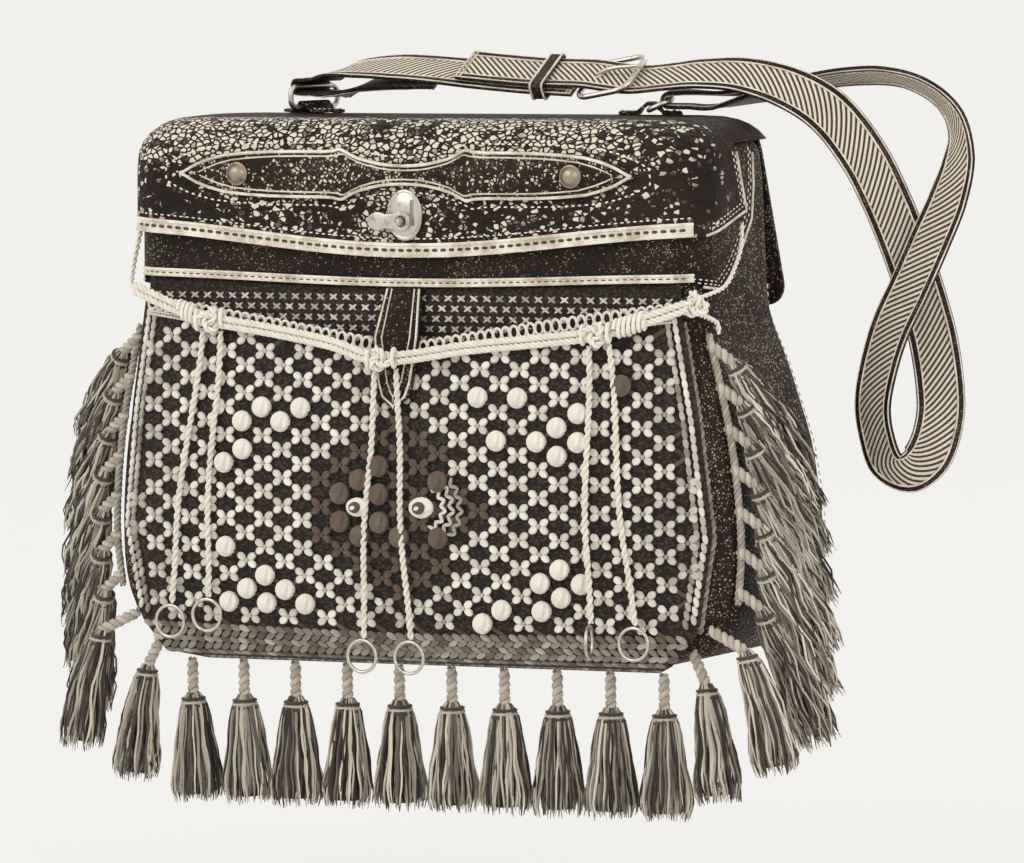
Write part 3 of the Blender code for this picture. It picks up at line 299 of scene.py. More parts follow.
class Heap:
    """Gathers many small shapes in one mesh, each with its own tone."""

    def __init__(self):
        self.points, self.faces, self.tones, self.count = [], [], [], 0

    def add(self, points, faces, tone=0.5):
        self.points.append(np.asarray(points, float))
        self.faces += [tuple(self.count + i for i in face) for face in faces]
        self.tones.append(np.full(len(points), tone))
        self.count += len(points)

    def tube(self, path, radius, sides=6, tone=0.5, flat=1.0):
        """A closed tube; radius is one number or one for each point."""
        path = np.asarray([tuple(p) for p in path], float)
        across, rise = path_axes(path)
        radii = np.broadcast_to(np.asarray(radius, float), (len(path),))
        turns = 2 * np.pi * np.arange(sides) / sides
        rings = (path[:, None] + radii[:, None, None] * (across[:, None] * np.cos(turns)[None, :, None]
                                                         + rise[:, None] * np.sin(turns)[None, :, None] * flat))
        faces = [(r * sides + i, r * sides + (i + 1) % sides, (r + 1) * sides + (i + 1) % sides, (r + 1) * sides + i)
                 for r in range(len(path) - 1) for i in range(sides)]
        faces += [tuple(reversed(range(sides))), tuple((len(path) - 1) * sides + i for i in range(sides))]
        self.add(rings.reshape(-1, 3), faces, tone)

    def rope(self, points, diameter, pitch, plies=2, sides=6, tone=0.6, step=0.0009, ends=0.75):
        """A rope of twisted plies along points."""
        path = even_path(points, step)
        across, rise = path_axes(path)
        along = np.linspace(0, 1, len(path)) * step * len(path)
        share = 0.25 if plies == 2 else 0.27
        ply = diameter * (0.265 if plies == 2 else 0.25)
        ease = np.ones(len(path))
        for i, value in enumerate((ends, (1 + ends) / 2)):
            ease[i] = ease[-1 - i] = value
        for number in range(plies):
            turn = 2 * np.pi * (along / pitch + number / plies)
            line = path + diameter * share * (across * np.cos(turn)[:, None] + rise * np.sin(turn)[:, None])
            self.tube(line, ply * ease, sides, tone + 0.10 * (number % 2))

    def make(self, name, material, smooth=True):
        mesh = bpy.data.meshes.new(name)
        mesh.from_pydata(np.concatenate(self.points).tolist(), [], self.faces)
        mesh.attributes.new("tone", "FLOAT", "POINT").data.foreach_set("value", np.concatenate(self.tones))
        item = bpy.data.objects.new(name, mesh)
        bpy.context.scene.collection.objects.link(item)
        mesh.materials.append(material)
        bpy.ops.object.select_all(action="DESELECT")
        item.select_set(True)
        bpy.context.view_layer.objects.active = item
        bpy.ops.object.mode_set(mode="EDIT")
        bpy.ops.mesh.select_all(action="SELECT")
        bpy.ops.mesh.normals_make_consistent(inside=False)
        bpy.ops.object.mode_set(mode="OBJECT")
        if smooth:
            bpy.ops.object.shade_smooth_by_angle(angle=math.radians(50))
        return item


def net_top(x):
    share = min(1.0, abs(x) / NET_HALF_WIDTH)
    return -NET_TOP_DROP - NET_TOP_SAG * (1 - share) ** 1.2


def net_point(across, down, out=0.0):
    """A point of the pocket's inner face; across -1 to 1, down 0 to 1."""
    row = blend_rows(NET_ROWS, down)
    x = across * row[1] * NET_HALF_WIDTH
    top = net_top(across * NET_HALF_WIDTH)
    belly = row[2] * NET_BULGE * ((1 - abs(across) ** 4) if row[2] > 0 else 1)
    return Vector((x, FRONT_Y - NET_BACK_WALL - 2 * GAP - belly - out,
                   top + down * (-NET_BOTTOM_DROP - top)))


def net_face_y(x, z, out=0.0):
    top = net_top(x)
    down = min(0.92, max(0.0, (z - top) / (-NET_BOTTOM_DROP - top)))
    half = blend_rows(NET_ROWS, down)[1] * NET_HALF_WIDTH
    return net_point(max(-1.0, min(1.0, x / half)), down, NET_WALL + out).y


def string_y(x, z, stand):
    over_tab = TAB_THICKNESS + GAP if abs(x - TAB_X) < TAB_FLARE else 0.0
    return net_face_y(x, z) - DRAWCORD_DIAMETER / 2 - GAP - over_tab - stand


def cord_y(x, z):
    over = TAB_THICKNESS + GAP if abs(x - TAB_X) < TAB_FLARE and z > -TAB_TIP_DROP - 0.004 else 0.0
    return net_face_y(x, max(z, -0.215)) - CORD_DIAMETER / 2 - CORD_CLEAR - over


for name, knot_number, start_x, end_x, end_z, stand, turn in CORD_ROWS:
    knot = KNOTS[knot_number]
    beside = min(1.0, abs(start_x - knot[0]) / (KNOT_RADIUS * KNOT_SHAPE[0]))
    top_z = knot[1] - KNOT_RADIUS * KNOT_SHAPE[2] * math.sqrt(1 - beside ** 2) - GAP
    ring_top = end_z + RING_RADIUS + RING_WIRE / 2 + GAP
    route = []
    for i in range(8):
        t = i / 7
        x = start_x + (end_x - start_x) * t + 0.0012 * math.sin(2.5 * math.pi * t)
        z = top_z + (ring_top - top_z) * t
        route.append(Vector((x, cord_y(x, z) - stand * t, z)))
    path = smooth_path(route, 2)
    heap = Heap()
    heap.rope(path, CORD_DIAMETER * 0.97, 0.0085, tone=0.62)
    cord = heap.make("hanging_cord_" + name, cord_yarn)

    bpy.ops.object.select_all(action="DESELECT")
    bpy.ops.mesh.primitive_torus_add(
        major_segments=40, minor_segments=12, major_radius=RING_RADIUS, minor_radius=RING_WIRE / 2,
        location=(end_x, route[-1].y, end_z), rotation=(math.radians(90), 0, math.radians(turn)))
    ring = bpy.context.object
    ring.name = "cord_ring_" + name
    bpy.ops.object.transform_apply()
    bpy.ops.object.shade_smooth()
    ring.data.materials.append(bright_metal)
    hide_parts("ring_" + name)
    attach(ring, "pouch")

    length = sum((b - a).length for a, b in zip(path, path[1:]))
    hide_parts("cord_" + name)
    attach(cord, "pouch")


# Leather bag. Dark pebbled cowhide, cut as a front, a back and a gusset, and sewn inside out along
# the edges, so that the corners are round. The rim turns in under the lids.

TOP_ROUNDING = 0.015
BACK_ROUNDING = 0.018
CORNER = 0.018
RIM_Z = -2 * WALL - LID_GAP - GAP
BODY_SECTIONS = [
    (0.00, 0.888, 0.00, 0.770), (0.36, 0.899, 0.00, 0.790), (0.46, 0.938, 0.00, 0.874), (0.61, 0.983, 0.00, 0.966),
    (0.73, 1.000, 0.00, 1.000), (0.84, 1.000, 0.00, 0.992), (0.93, 0.966, 0.01, 0.941), (0.975, 0.890, 0.045, 0.850),
    (1.00, 0.720, 0.140, 0.720),
]


def leather(name, dark, fleck_and_highlight, amount=0.55, grain=620.0, rough=0.55, stretch=(1, 1, 1), depth=0.0005, rub_and_highlight=None,
            top=(0.16, 0.26)):
    """Pebbled hide: domed grain, with pale tops that are partly wear and partly a painted highlight where the tops
    catch the light; the optional mask gives more or less of it.
    """
    finish = Finish(name)
    finish.surface.inputs["Specular IOR Level"].default_value = 0.16
    where = finish.spots(stretch)
    bend = finish.noise(where, 300.0, 2.0, out=1)
    warped = finish.node("VectorMath", {"operation": "MULTIPLY_ADD"}, [bend, (0.0016, 0.0016, 0.0016), where])
    pebble = finish.cells(warped, grain)
    lot = finish.cells(warped, grain, out="Color")
    # Large patches: they mottle the hide and choose where the pale tops, worn and painted highlight, gather.
    wear_and_light_patches = finish.noise(finish.spots(), 26.0, 4.0)
    fine = finish.noise(where, 2400.0, 2.0)
    top = finish.cells(warped, grain, "DISTANCE_TO_EDGE").step(*top)
    worn_and_lit = lot * 0.7 + wear_and_light_patches * 0.9 + fine * 0.25
    if rub_and_highlight:
        worn_and_lit = worn_and_lit + rub_and_highlight(finish)
    chosen = worn_and_lit.step(1.02 - amount * 0.45, 1.16 - amount * 0.45)
    # Pale grain tops: partly worn hide, partly a painted highlight on the pebble tops.
    pale = top * chosen * 0.9
    hide = finish.mix(wear_and_light_patches.step(0.35, 0.7), (*dark, 1), (*[c * 1.9 for c in dark], 1))
    height = (1 - pebble) * 0.8 + fine * 0.2 + pale * 0.35
    return finish.paint(finish.mix(pale, hide, (*fleck_and_highlight, 1)), rough=(rough - 0.1) + pebble * 0.35 - pale * 0.05,
                        height=height, depth=depth)


dark_leather = leather("body_hide", (0.014, 0.009, 0.006), (0.42, 0.33, 0.23), amount=0.36, grain=700.0)


def section_at(z):
    row = blend_rows(BODY_SECTIONS, min(1.0, max(0.0, -z / HEIGHT)))
    return row[1] * HALF_WIDTH, FRONT_Y + row[2] * DEPTH, FRONT_Y + row[3] * DEPTH


def outline_ring(half, front, back, radius, z):
    """A rounded rectangle at one height, from the front right corner round to the front."""
    radius = min(radius, (back - front) / 2 - 0.001, half - 0.001)
    corners = [(half - radius, front + radius, -90), (half - radius, back - radius, 0),
               (radius - half, back - radius, 90), (radius - half, front + radius, 180)]
    points = []
    for number, (x, y, start) in enumerate(corners):
        for step in range(9):
            angle = math.radians(start + 90 * step / 8)
            points.append(Vector((x + radius * math.cos(angle), y + radius * math.sin(angle), z)))
        following = corners[(number + 1) % 4]
        angle = math.radians(following[2])
        far = Vector((following[0] + radius * math.cos(angle), following[1] + radius * math.sin(angle), z))
        count = 30 if number % 2 else 8
        near = points[-1]
        points += [near.lerp(far, step / count) for step in range(1, count)]
    return points


def shoulder_rings(out, top_z, first, steps=7):
    half, front, back = section_at(0.0)
    rings = []
    for step in range(first, steps + 1):
        angle = math.radians(90 * step / steps)
        inset = 1 - math.sin(angle)
        rings.append(outline_ring(
            half + out - (TOP_ROUNDING + out) * inset, front - out + (TOP_ROUNDING + out) * inset,
            back + out - (BACK_ROUNDING + out) * inset, CORNER + out,
            top_z - (TOP_ROUNDING + out) * (1 - math.cos(angle))))
    return rings


def active(item):
    bpy.ops.object.select_all(action="DESELECT")
    item.select_set(True)
    bpy.context.view_layer.objects.active = item


def apply_modifiers(item):
    active(item)
    for modifier in list(item.modifiers):
        bpy.ops.object.modifier_apply(modifier=modifier.name)


def shell(name, rings, material, close_start=False, close_end=False):
    """Bridge closed rings of equal count into an open bag shape."""
    size = len(rings[0])
    faces = [(r * size + i, r * size + (i + 1) % size, (r + 1) * size + (i + 1) % size, (r + 1) * size + i)
             for r in range(len(rings) - 1) for i in range(size)]
    points = [tuple(p) for ring in rings for p in ring]
    for wanted, ring, base in ((close_start, rings[0], 0), (close_end, rings[-1], (len(rings) - 1) * size)):
        if wanted:
            middle = sum(ring, Vector()) / size
            span = max(abs(p.x - middle.x) for p in ring) * 0.62
            line = []
            for i, point in enumerate(ring):
                line.append((max(-span, min(span, point.x)) * 0.94 + middle.x * 0.06, middle.y, middle.z))
            start = len(points)
            points += line
            faces += [(base + i, base + (i + 1) % size, start + (i + 1) % size, start + i) for i in range(size)]
    mesh = bpy.data.meshes.new(name)
    mesh.from_pydata(points, [], faces)
    item = bpy.data.objects.new(name, mesh)
    bpy.context.scene.collection.objects.link(item)
    mesh.materials.append(material)
    active(item)
    bpy.ops.object.mode_set(mode="EDIT")
    bpy.ops.mesh.select_all(action="SELECT")
    bpy.ops.mesh.remove_doubles(threshold=0.00002)
    bpy.ops.mesh.normals_make_consistent(inside=False)
    bpy.ops.object.mode_set(mode="OBJECT")
    return item


def add_wall(item, thickness, offset, edge=0.0006):
    """Give a shell its leather's thickness and ease its cut edges."""
    wall = item.modifiers.new("wall", "SOLIDIFY")
    wall.thickness, wall.offset, wall.use_even_offset = thickness, offset, True
    ease = item.modifiers.new("ease", "BEVEL")
    ease.width, ease.segments, ease.limit_method, ease.angle_limit = edge, 2, "ANGLE", math.radians(55)
    apply_modifiers(item)
    bpy.ops.object.shade_smooth_by_angle(angle=math.radians(45))


def dress(item, slot_name, *nodes, body="pouch"):
    """This piece stands for its CAD nodes and moves with the bag."""
    if nodes:
        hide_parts(*nodes)
    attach(item, body)
    return item


rings = shoulder_rings(0.0, RIM_Z, 2)
heights = [-0.030 - 0.0085 * i for i in range(29)] + [-HEIGHT]
for z in heights:
    half, front, back = section_at(z)
    above, below = section_at(z + 0.010), section_at(max(-HEIGHT, z - 0.010))
    if z > -0.255:
        half, back = (half * 2 + above[0] + below[0]) / 4, (back * 2 + above[2] + below[2]) / 4
    ring = outline_ring(half, front, back, CORNER, z)
    for point in ring:
        free = max(0.0, min(1.0, (point.y - FRONT_Y - 0.012) / 0.03)) * max(0.0, min(1.0, (-z - 0.10) / 0.04))
        dent = free * 0.0016 * (noise.noise(point * 24) - 0.35)
        middle = Vector((point.x * 0.6, (front + back) / 2, z))
        point += (point - middle).normalized() * dent
    rings.append(ring)
bag = shell("leather_bag", rings, dark_leather, close_end=True)
add_wall(bag, WALL, -1)
dress(bag, "dark_leather", "body_front", "body_back", "body_side_left", "body_side_right", "body_bottom")


# Seam stitching. Waxed linen thread, pale, locked through the leather at an even pitch: long rows run
# down the gusset seams, and each row is sunk a little into the hide.

thread = yarn("linen_thread", (0.35, 0.27, 0.18), (0.90, 0.85, 0.75), rough=0.7, low=0.25)


def stitch_row(heap, points, pitch=0.0042, length=0.0027, width=0.00045, tone=0.8):
    """Short round stitches along a line that lies on the surface."""
    path = even_path(points, 0.0003)
    span = max(1, round(len(path) * 0.0003 / pitch))
    for number in range(span):
        start = int((number + 0.15) * len(path) / span)
        part = path[start:start + max(3, int(length / 0.0003)):2]
        if len(part) > 2:
            radii = [width * (0.55 if i in (0, len(part) - 1) else 1.0) for i in range(len(part))]
            heap.tube(part, radii, sides=5, tone=tone - 0.25 * random.random())


random.seed(11)
seams = Heap()
for sign in (-1, 1):
    for lean in (28, 52):
        line = []
        for i in range(30):
            z = -0.085 - 0.178 * i / 29
            half, front, back = section_at(z)
            angle = math.radians(lean)
            line.append((sign * (half - CORNER + (CORNER + 0.0002) * math.cos(angle)),
                         back - CORNER + (CORNER + 0.0002) * math.sin(angle), z))
        stitch_row(seams, line)
dress(seams.make("gusset_stitches", thread), "edge_leather")


# Lids. Two hoods of the same hide, moulded over the top of the bag: the inner one is longer and keeps
# the dust out, and the outer one closes over it. Both are cut away behind into short wings.

FLAP_DROP, FLAP_SAG, FLAP_WING = 0.057, 0.012, 0.047
UNDER_DROP, UNDER_SAG, UNDER_WING = 0.080, 0.004, 0.063
WING_TOP = 0.012
FRONT_SPLIT = 0.010
FLAP_INNER_Z = -WALL
UNDER_INNER_Z = -2 * WALL - LID_GAP
UNDER_OUT = GAP
FLAP_OUT = GAP + LID_GAP + WALL
FLAP_FACE_Y = FRONT_Y - FLAP_OUT - WALL
UNDER_FACE_Y = FRONT_Y - UNDER_OUT - WALL



def lid_rub_and_highlight(finish):
    """The lid's pale grain tops, partly wear and partly a painted highlight, are palest along its front top edge, where
    the rounding catches the light, and least near its ends and on top.
    """
    across, back, up = (finish.node("SeparateXYZ", {}, [finish.spots()], out=i) for i in range(3))
    # Painted highlight along the lid's rounded front top edge.
    lit_crown = (up + 0.030).step(0, 0.012) * (1 - (back + 0.088).step(0, 0.016))
    ends = abs(across + 0.022).step(0.085, 0.175)
    return lit_crown * 0.20 - ends * 0.22 - (back + 0.085).step(0, 0.03) * 0.42


# The lid's pale grain tops are partly wear and partly a painted highlight.
lid_leather = leather("lid_hide", (0.014, 0.009, 0.006), (0.80, 0.72, 0.58), amount=0.40, grain=330.0,
                      stretch=(0.85, 1, 1.15), depth=0.0008, rub_and_highlight=lid_rub_and_highlight, top=(0.10, 0.16))
under_leather = leather("inner_lid_hide", (0.012, 0.008, 0.005), (0.36, 0.28, 0.19), amount=0.20, grain=760.0)


def lower_edge(x, drop, sag):
    share = min(1.0, abs(x) / HALF_WIDTH)
    return -drop - sag * math.cos(share * math.pi / 2) ** 2


def prism(outline, axis, start, end):
    """A cutter along X or Y with an outline of (across, up) points."""
    points = [(level, a, b) if axis == "X" else (a, level, b) for level in (start, end) for a, b in outline]
    size = len(outline)
    faces = [(i, (i + 1) % size, size + (i + 1) % size, size + i) for i in range(size)]
    faces += [tuple(reversed(range(size))), tuple(range(size, 2 * size))]
    mesh = bpy.data.meshes.new("cutter")
    mesh.from_pydata(points, [], faces)
    item = bpy.data.objects.new("cutter", mesh)
    bpy.context.scene.collection.objects.link(item)
    active(item)
    bpy.ops.object.mode_set(mode="EDIT")
    bpy.ops.mesh.select_all(action="SELECT")
    bpy.ops.mesh.normals_make_consistent(inside=False)
    bpy.ops.object.mode_set(mode="OBJECT")
    return item


def cut(item, cutter):
    tool = item.modifiers.new("cut", "BOOLEAN")
    tool.object, tool.operation, tool.solver = cutter, "DIFFERENCE", "EXACT"
    apply_modifiers(item)
    bpy.data.objects.remove(cutter, do_unlink=True)


def lid(name, node, out, inner_z, drop, sag, wing, material):
    """A hood over the bag's top, cut to its front edge and its wings."""
    rings = shoulder_rings(out, inner_z, 0)
    low = drop + sag + 0.010
    for i in range(1, 9):
        z = min(-0.020 - (low - 0.020) * i / 8, rings[-1][0].z - 0.002)
        half, front, back = section_at(z)
        rings.append(outline_ring(half + out, front - out, back + out, CORNER + out, z))
    item = shell(name, rings, material, close_start=True)
    wall = item.modifiers.new("wall", "SOLIDIFY")
    wall.thickness, wall.offset, wall.use_even_offset = WALL, 1, True
    apply_modifiers(item)
    reach = HALF_WIDTH * 1.3
    edge = [(reach * (i / 20 - 1), lower_edge(reach * (i / 20 - 1), drop, sag)) for i in range(41)]
    split = FRONT_Y + FRONT_SPLIT
    cut(item, prism(edge + [(reach, -HEIGHT), (-reach, -HEIGHT)], "Y", split - DEPTH, split))
    outline = [(FRONT_Y + depth, z) for depth, z in wing]
    outline += [(FRONT_Y + 2 * DEPTH, -WING_TOP), (FRONT_Y + 2 * DEPTH, -HEIGHT), (split - 0.0002, -HEIGHT)]
    cut(item, prism(outline, "X", -reach, reach))
    ease = item.modifiers.new("ease", "BEVEL")
    ease.width, ease.segments, ease.limit_method, ease.angle_limit = 0.0005, 2, "ANGLE", math.radians(50)
    apply_modifiers(item)
    bpy.ops.object.shade_smooth_by_angle(angle=math.radians(40))
    return dress(item, "dark_leather", node)


lid("outer_lid", "flap", FLAP_OUT, FLAP_INNER_Z, FLAP_DROP, FLAP_SAG, [
    (FRONT_SPLIT - 0.0002, -FLAP_DROP + 0.001), (FLAP_WING, -FLAP_DROP * 0.80), (FLAP_WING * 0.80, -WING_TOP),
], lid_leather)
lid("inner_lid", "under_flap", UNDER_OUT, UNDER_INNER_Z, UNDER_DROP, UNDER_SAG, [
    (FRONT_SPLIT - 0.0002, -UNDER_DROP - 0.004), (UNDER_WING * 0.35, -UNDER_DROP - 0.006),
    (UNDER_WING * 0.55, -UNDER_DROP * 0.98), (UNDER_WING * 0.70, -UNDER_DROP * 0.87),
    (UNDER_WING * 0.95, -UNDER_DROP * 0.65), (UNDER_WING, -UNDER_DROP * 0.44), (UNDER_WING, -WING_TOP),
], under_leather)


# Lid bindings. A strip of pale leather is sewn along the front edge of the outer lid between two
# raised lines, with dark thread; the inner lid and the wings have only a narrow pale piping.

BAND_WIDTH, BAND_THICKNESS, PIPING_WIDTH = 0.0075, 0.0012, 0.0045

edge_leather = Finish("edge_leather")
grain = edge_leather.noise(edge_leather.spots(), 1400.0, 3.0)
scuff = edge_leather.noise(edge_leather.spots(), 90.0, 4.0)
edge_leather = edge_leather.paint(
    edge_leather.mix((scuff * 0.6 + grain * 0.4).step(0.34, 0.62), (0.46, 0.37, 0.26, 1), (0.86, 0.80, 0.69, 1)),
    rough=grain * 0.2 + 0.45, height=grain, depth=0.0002)
dark_thread = yarn("dark_thread", (0.015, 0.010, 0.007), (0.07, 0.05, 0.035), rough=0.7)


def sweep(name, path, across, out, profile, material, ends=True):
    """A strip of even section along a path. Its UV runs across and along, in metres."""
    path, across, out = (np.asarray([tuple(p) for p in rows], float) for rows in (path, across, out))
    size, count = len(profile), len(path)
    points = [tuple(path[r] + across[r] * a + out[r] * b) for r in range(count) for a, b in profile]
    faces = [(r * size + i, r * size + (i + 1) % size, (r + 1) * size + (i + 1) % size, (r + 1) * size + i)
             for r in range(count - 1) for i in range(size)]
    if ends:
        faces += [tuple(reversed(range(size))), tuple((count - 1) * size + i for i in range(size))]
    mesh = bpy.data.meshes.new(name)
    mesh.from_pydata(points, [], faces)
    along = np.concatenate([[0], np.cumsum(np.linalg.norm(np.diff(path, axis=0), axis=1))])
    chart = mesh.uv_layers.new(name="cloth").data
    for loop in mesh.loops:
        row, place = divmod(loop.vertex_index, size)
        chart[loop.index].uv = (profile[place][0], along[row])
    item = bpy.data.objects.new(name, mesh)
    bpy.context.scene.collection.objects.link(item)
    mesh.materials.append(material)
    active(item)
    bpy.ops.object.mode_set(mode="EDIT")
    bpy.ops.mesh.select_all(action="SELECT")
    bpy.ops.mesh.normals_make_consistent(inside=False)
    bpy.ops.object.mode_set(mode="OBJECT")
    bpy.ops.object.shade_smooth_by_angle(angle=math.radians(40))
    return item


def front_line(reach, drop, sag, up, y, count=100):
    """A line along a lid's lower edge, round its front corners."""
    flat, radius = section_at(-drop)[0] - CORNER, FRONT_Y - y + CORNER
    points = []
    for i in range(count + 1):
        x = reach * (2 * i / count - 1)
        past = min(radius, max(0.0, abs(x) - flat))
        points.append((x, y + radius - math.sqrt(radius ** 2 - past ** 2), lower_edge(x, drop, sag) + up))
    return points


def facing_out(line, drop, y):
    """The way out of the lid's face at each point of such a line."""
    flat, radius = section_at(-drop)[0] - CORNER, FRONT_Y - y + CORNER
    turns = [math.asin(min(1.0, max(0.0, abs(x) - flat) / radius)) * (1 if x > 0 else -1) for x, _, _ in line]
    return [(math.sin(turn), -math.cos(turn), 0) for turn in turns]


def welt_profile(width, height, welt):
    """A strip's section with a rounded raised line along both edges."""
    section = [(0.0, 0.0), (width, 0.0), (width, height * 0.8), (width - welt * 0.25, height),
               (width - welt * 0.75, height), (width - welt, height * 0.45), (welt, height * 0.45),
               (welt * 0.75, height), (welt * 0.25, height), (0.0, height * 0.8)]
    return section


band_reach = section_at(-FLAP_DROP)[0] - 0.0010
line = front_line(band_reach, FLAP_DROP, FLAP_SAG, 0.0003, FLAP_FACE_Y - GAP)
dress(sweep("outer_lid_binding", line, [(0, 0, 1)] * len(line), facing_out(line, FLAP_DROP, FLAP_FACE_Y),
            welt_profile(BAND_WIDTH - 0.0003, BAND_THICKNESS, 0.0019), edge_leather), "edge_leather", "flap_binding")
under_reach = section_at(-UNDER_DROP)[0] - 0.0030
line = front_line(under_reach, UNDER_DROP, UNDER_SAG, 0.0003, UNDER_FACE_Y - GAP)
dress(sweep("inner_lid_binding", line, [(0, 0, 1)] * len(line), facing_out(line, UNDER_DROP, UNDER_FACE_Y),
            welt_profile(PIPING_WIDTH - 0.0003, BAND_THICKNESS, 0.0014), edge_leather), "edge_leather",
      "under_flap_binding")

stitches = Heap()
stitch_row(stitches, front_line(band_reach - 0.002, FLAP_DROP, FLAP_SAG, BAND_WIDTH * 0.52,
                                FLAP_FACE_Y - GAP - BAND_THICKNESS * 0.50), pitch=0.0048, length=0.0033, width=0.0008)
stitch_row(stitches, front_line(under_reach - 0.002, UNDER_DROP, UNDER_SAG, PIPING_WIDTH * 0.5,
                                UNDER_FACE_Y - GAP - BAND_THICKNESS * 0.35), pitch=0.0040, length=0.0028, width=0.0004)
dress(stitches.make("binding_stitches", dark_thread), "dark_leather")


def lid_side(z, out, sign):
    return sign * (section_at(z)[0] + out + WALL)


def wing_line(knots, out, sign, lift=0.0):
    """A line on a lid's side wall through (depth, z) places."""
    spots = []
    for (d0, z0), (d1, z1) in zip(knots, knots[1:]):
        for step in range(12):
            t = step / 12
            spots.append((d0 + (d1 - d0) * t, z0 + (z1 - z0) * t))
    spots.append(knots[-1])
    points = []
    for depth, z in spots:
        x = lid_side(z, out, sign) + sign * lift
        corner = CORNER + out + WALL
        near = depth + out + WALL
        if near < corner:
            x -= sign * (corner - math.sqrt(max(0.0, corner ** 2 - (corner - near) ** 2)))
        points.append((x, FRONT_Y + depth, z))
    return points


wing_threads, wing_piping = Heap(), Heap()
OUTER_WING = [(0.0125, -0.0527), (FLAP_WING - 0.0035, -0.0438), (FLAP_WING * 0.80 - 0.0030, -0.0165)]
OUTER_RIM = [(0.0060, -0.0568), (FLAP_WING - 0.0012, -0.0462), (FLAP_WING * 0.80 - 0.0010, -0.0165)]
INNER_RIM = [(0.0075, -0.0825), (UNDER_WING * 0.35, -0.0846), (UNDER_WING * 0.54, -0.0772), (UNDER_WING * 0.69, -0.0684),
             (UNDER_WING * 0.93, -0.0512), (UNDER_WING - 0.0010, -0.0348), (UNDER_WING - 0.0010, -0.0180)]
for sign in (-1, 1):
    for inset in (0.0, 0.0030):
        knots = [(d - inset * 0.9, z + inset * 0.5) for d, z in OUTER_WING]
        stitch_row(wing_threads, wing_line(knots, FLAP_OUT, sign), pitch=0.0036, length=0.0025, width=0.00038)
        knots = [(d - inset * 0.7 - 0.0028, z + inset * 0.7 + 0.0022) for d, z in INNER_RIM]
        stitch_row(wing_threads, wing_line(knots, UNDER_OUT, sign), pitch=0.0036, length=0.0025, width=0.00038)
    wing_piping.tube(wing_line(OUTER_RIM, FLAP_OUT, sign), 0.00075, tone=0.8)
    wing_piping.tube(wing_line(INNER_RIM, UNDER_OUT, sign), 0.00070, tone=0.8)
dress(wing_threads.make("wing_stitches", thread), "edge_leather")
dress(wing_piping.make("wing_piping", edge_leather), "edge_leather")


# Back panel. A flat piece of the same hide hangs from the back top edge and covers the strap's
# fixings; a narrow pale binding is sewn round its sides and foot.

BACK_FLAP_HALF, BACK_FLAP_DROP, BACK_FLAP_STAND, BACK_FLAP_CORNER = 0.155, 0.098, 0.006, 0.012
EDGE_INSET = 0.0008


def back_profile(z):
    sunk = min(1.0, (FLAP_INNER_Z - z) / (TOP_ROUNDING + FLAP_OUT))
    inset = (BACK_ROUNDING + FLAP_OUT) * (1 - math.sqrt(1 - (1 - sunk) ** 2))
    return section_at(z)[2] + FLAP_OUT - inset + BACK_FLAP_STAND * max(0.0, -z / BACK_FLAP_DROP - 0.2)


def back_row(share, inset, stand, count=36):
    top = -WING_TOP - WALL * 0.3 - GAP
    z = top - (BACK_FLAP_DROP - inset + top) * share
    left_over = max(0.0, BACK_FLAP_CORNER - (BACK_FLAP_DROP - inset + z))
    pull = BACK_FLAP_CORNER - math.sqrt(max(0.0, BACK_FLAP_CORNER ** 2 - left_over ** 2))
    half = BACK_FLAP_HALF * (0.96 + 0.07 * share) - inset - pull
    return [Vector((half * (2 * i / count - 1), back_profile(z) + stand, z)) for i in range(count + 1)]


shares = [i / 22 for i in range(20)] + [0.89, 0.92, 0.945, 0.965, 0.98, 0.992, 1.0]
rows = [back_row(share, 0.0, 0.0) for share in shares]
mesh = bpy.data.meshes.new("back_panel")
mesh.from_pydata([tuple(p) for row in rows for p in row], [],
                 [(r * 37 + i, (r + 1) * 37 + i, (r + 1) * 37 + i + 1, r * 37 + i + 1)
                  for r in range(len(rows) - 1) for i in range(36)])
panel = bpy.data.objects.new("back_panel", mesh)
bpy.context.scene.collection.objects.link(panel)
mesh.materials.append(dark_leather)
if mesh.polygons[200].normal.y < 0:
    mesh.flip_normals()
add_wall(panel, WALL, 1, edge=0.0005)
dress(panel, "dark_leather", "back_flap")


def back_edge(inset, stand):
    rows = [back_row(share, inset, stand) for share in shares]
    return [row[0] for row in rows] + rows[-1][1:-1] + [row[-1] for row in reversed(rows)]


middle = back_edge(EDGE_INSET + PIPING_WIDTH / 2, WALL + GAP)
inner, outer = back_edge(EDGE_INSET + PIPING_WIDTH, WALL + GAP), back_edge(EDGE_INSET, WALL + GAP)
across = [(b - a).normalized() for a, b in zip(outer, inner)]
half = PIPING_WIDTH / 2 - 0.0001
section = [(a - half, b) for a, b in welt_profile(2 * half, BAND_THICKNESS, 0.0014)]
dress(sweep("back_panel_binding", middle, across, [(0, 1, 0)] * len(middle), section, edge_leather), "edge_leather",
      "back_flap_binding")
stitches = Heap()
stitch_row(stitches, back_edge(EDGE_INSET + PIPING_WIDTH / 2, WALL + GAP + BAND_THICKNESS * 0.55), pitch=0.0042,
           length=0.0028, width=0.0005)
dress(stitches.make("back_binding_stitches", dark_thread), "dark_leather")


# Ornament on the lid. A long pointed piece of thick hide with a narrow waist, stuffed a little, with
# a pale cord piped round its edge twice; a row of pale thread runs round it on the lid.

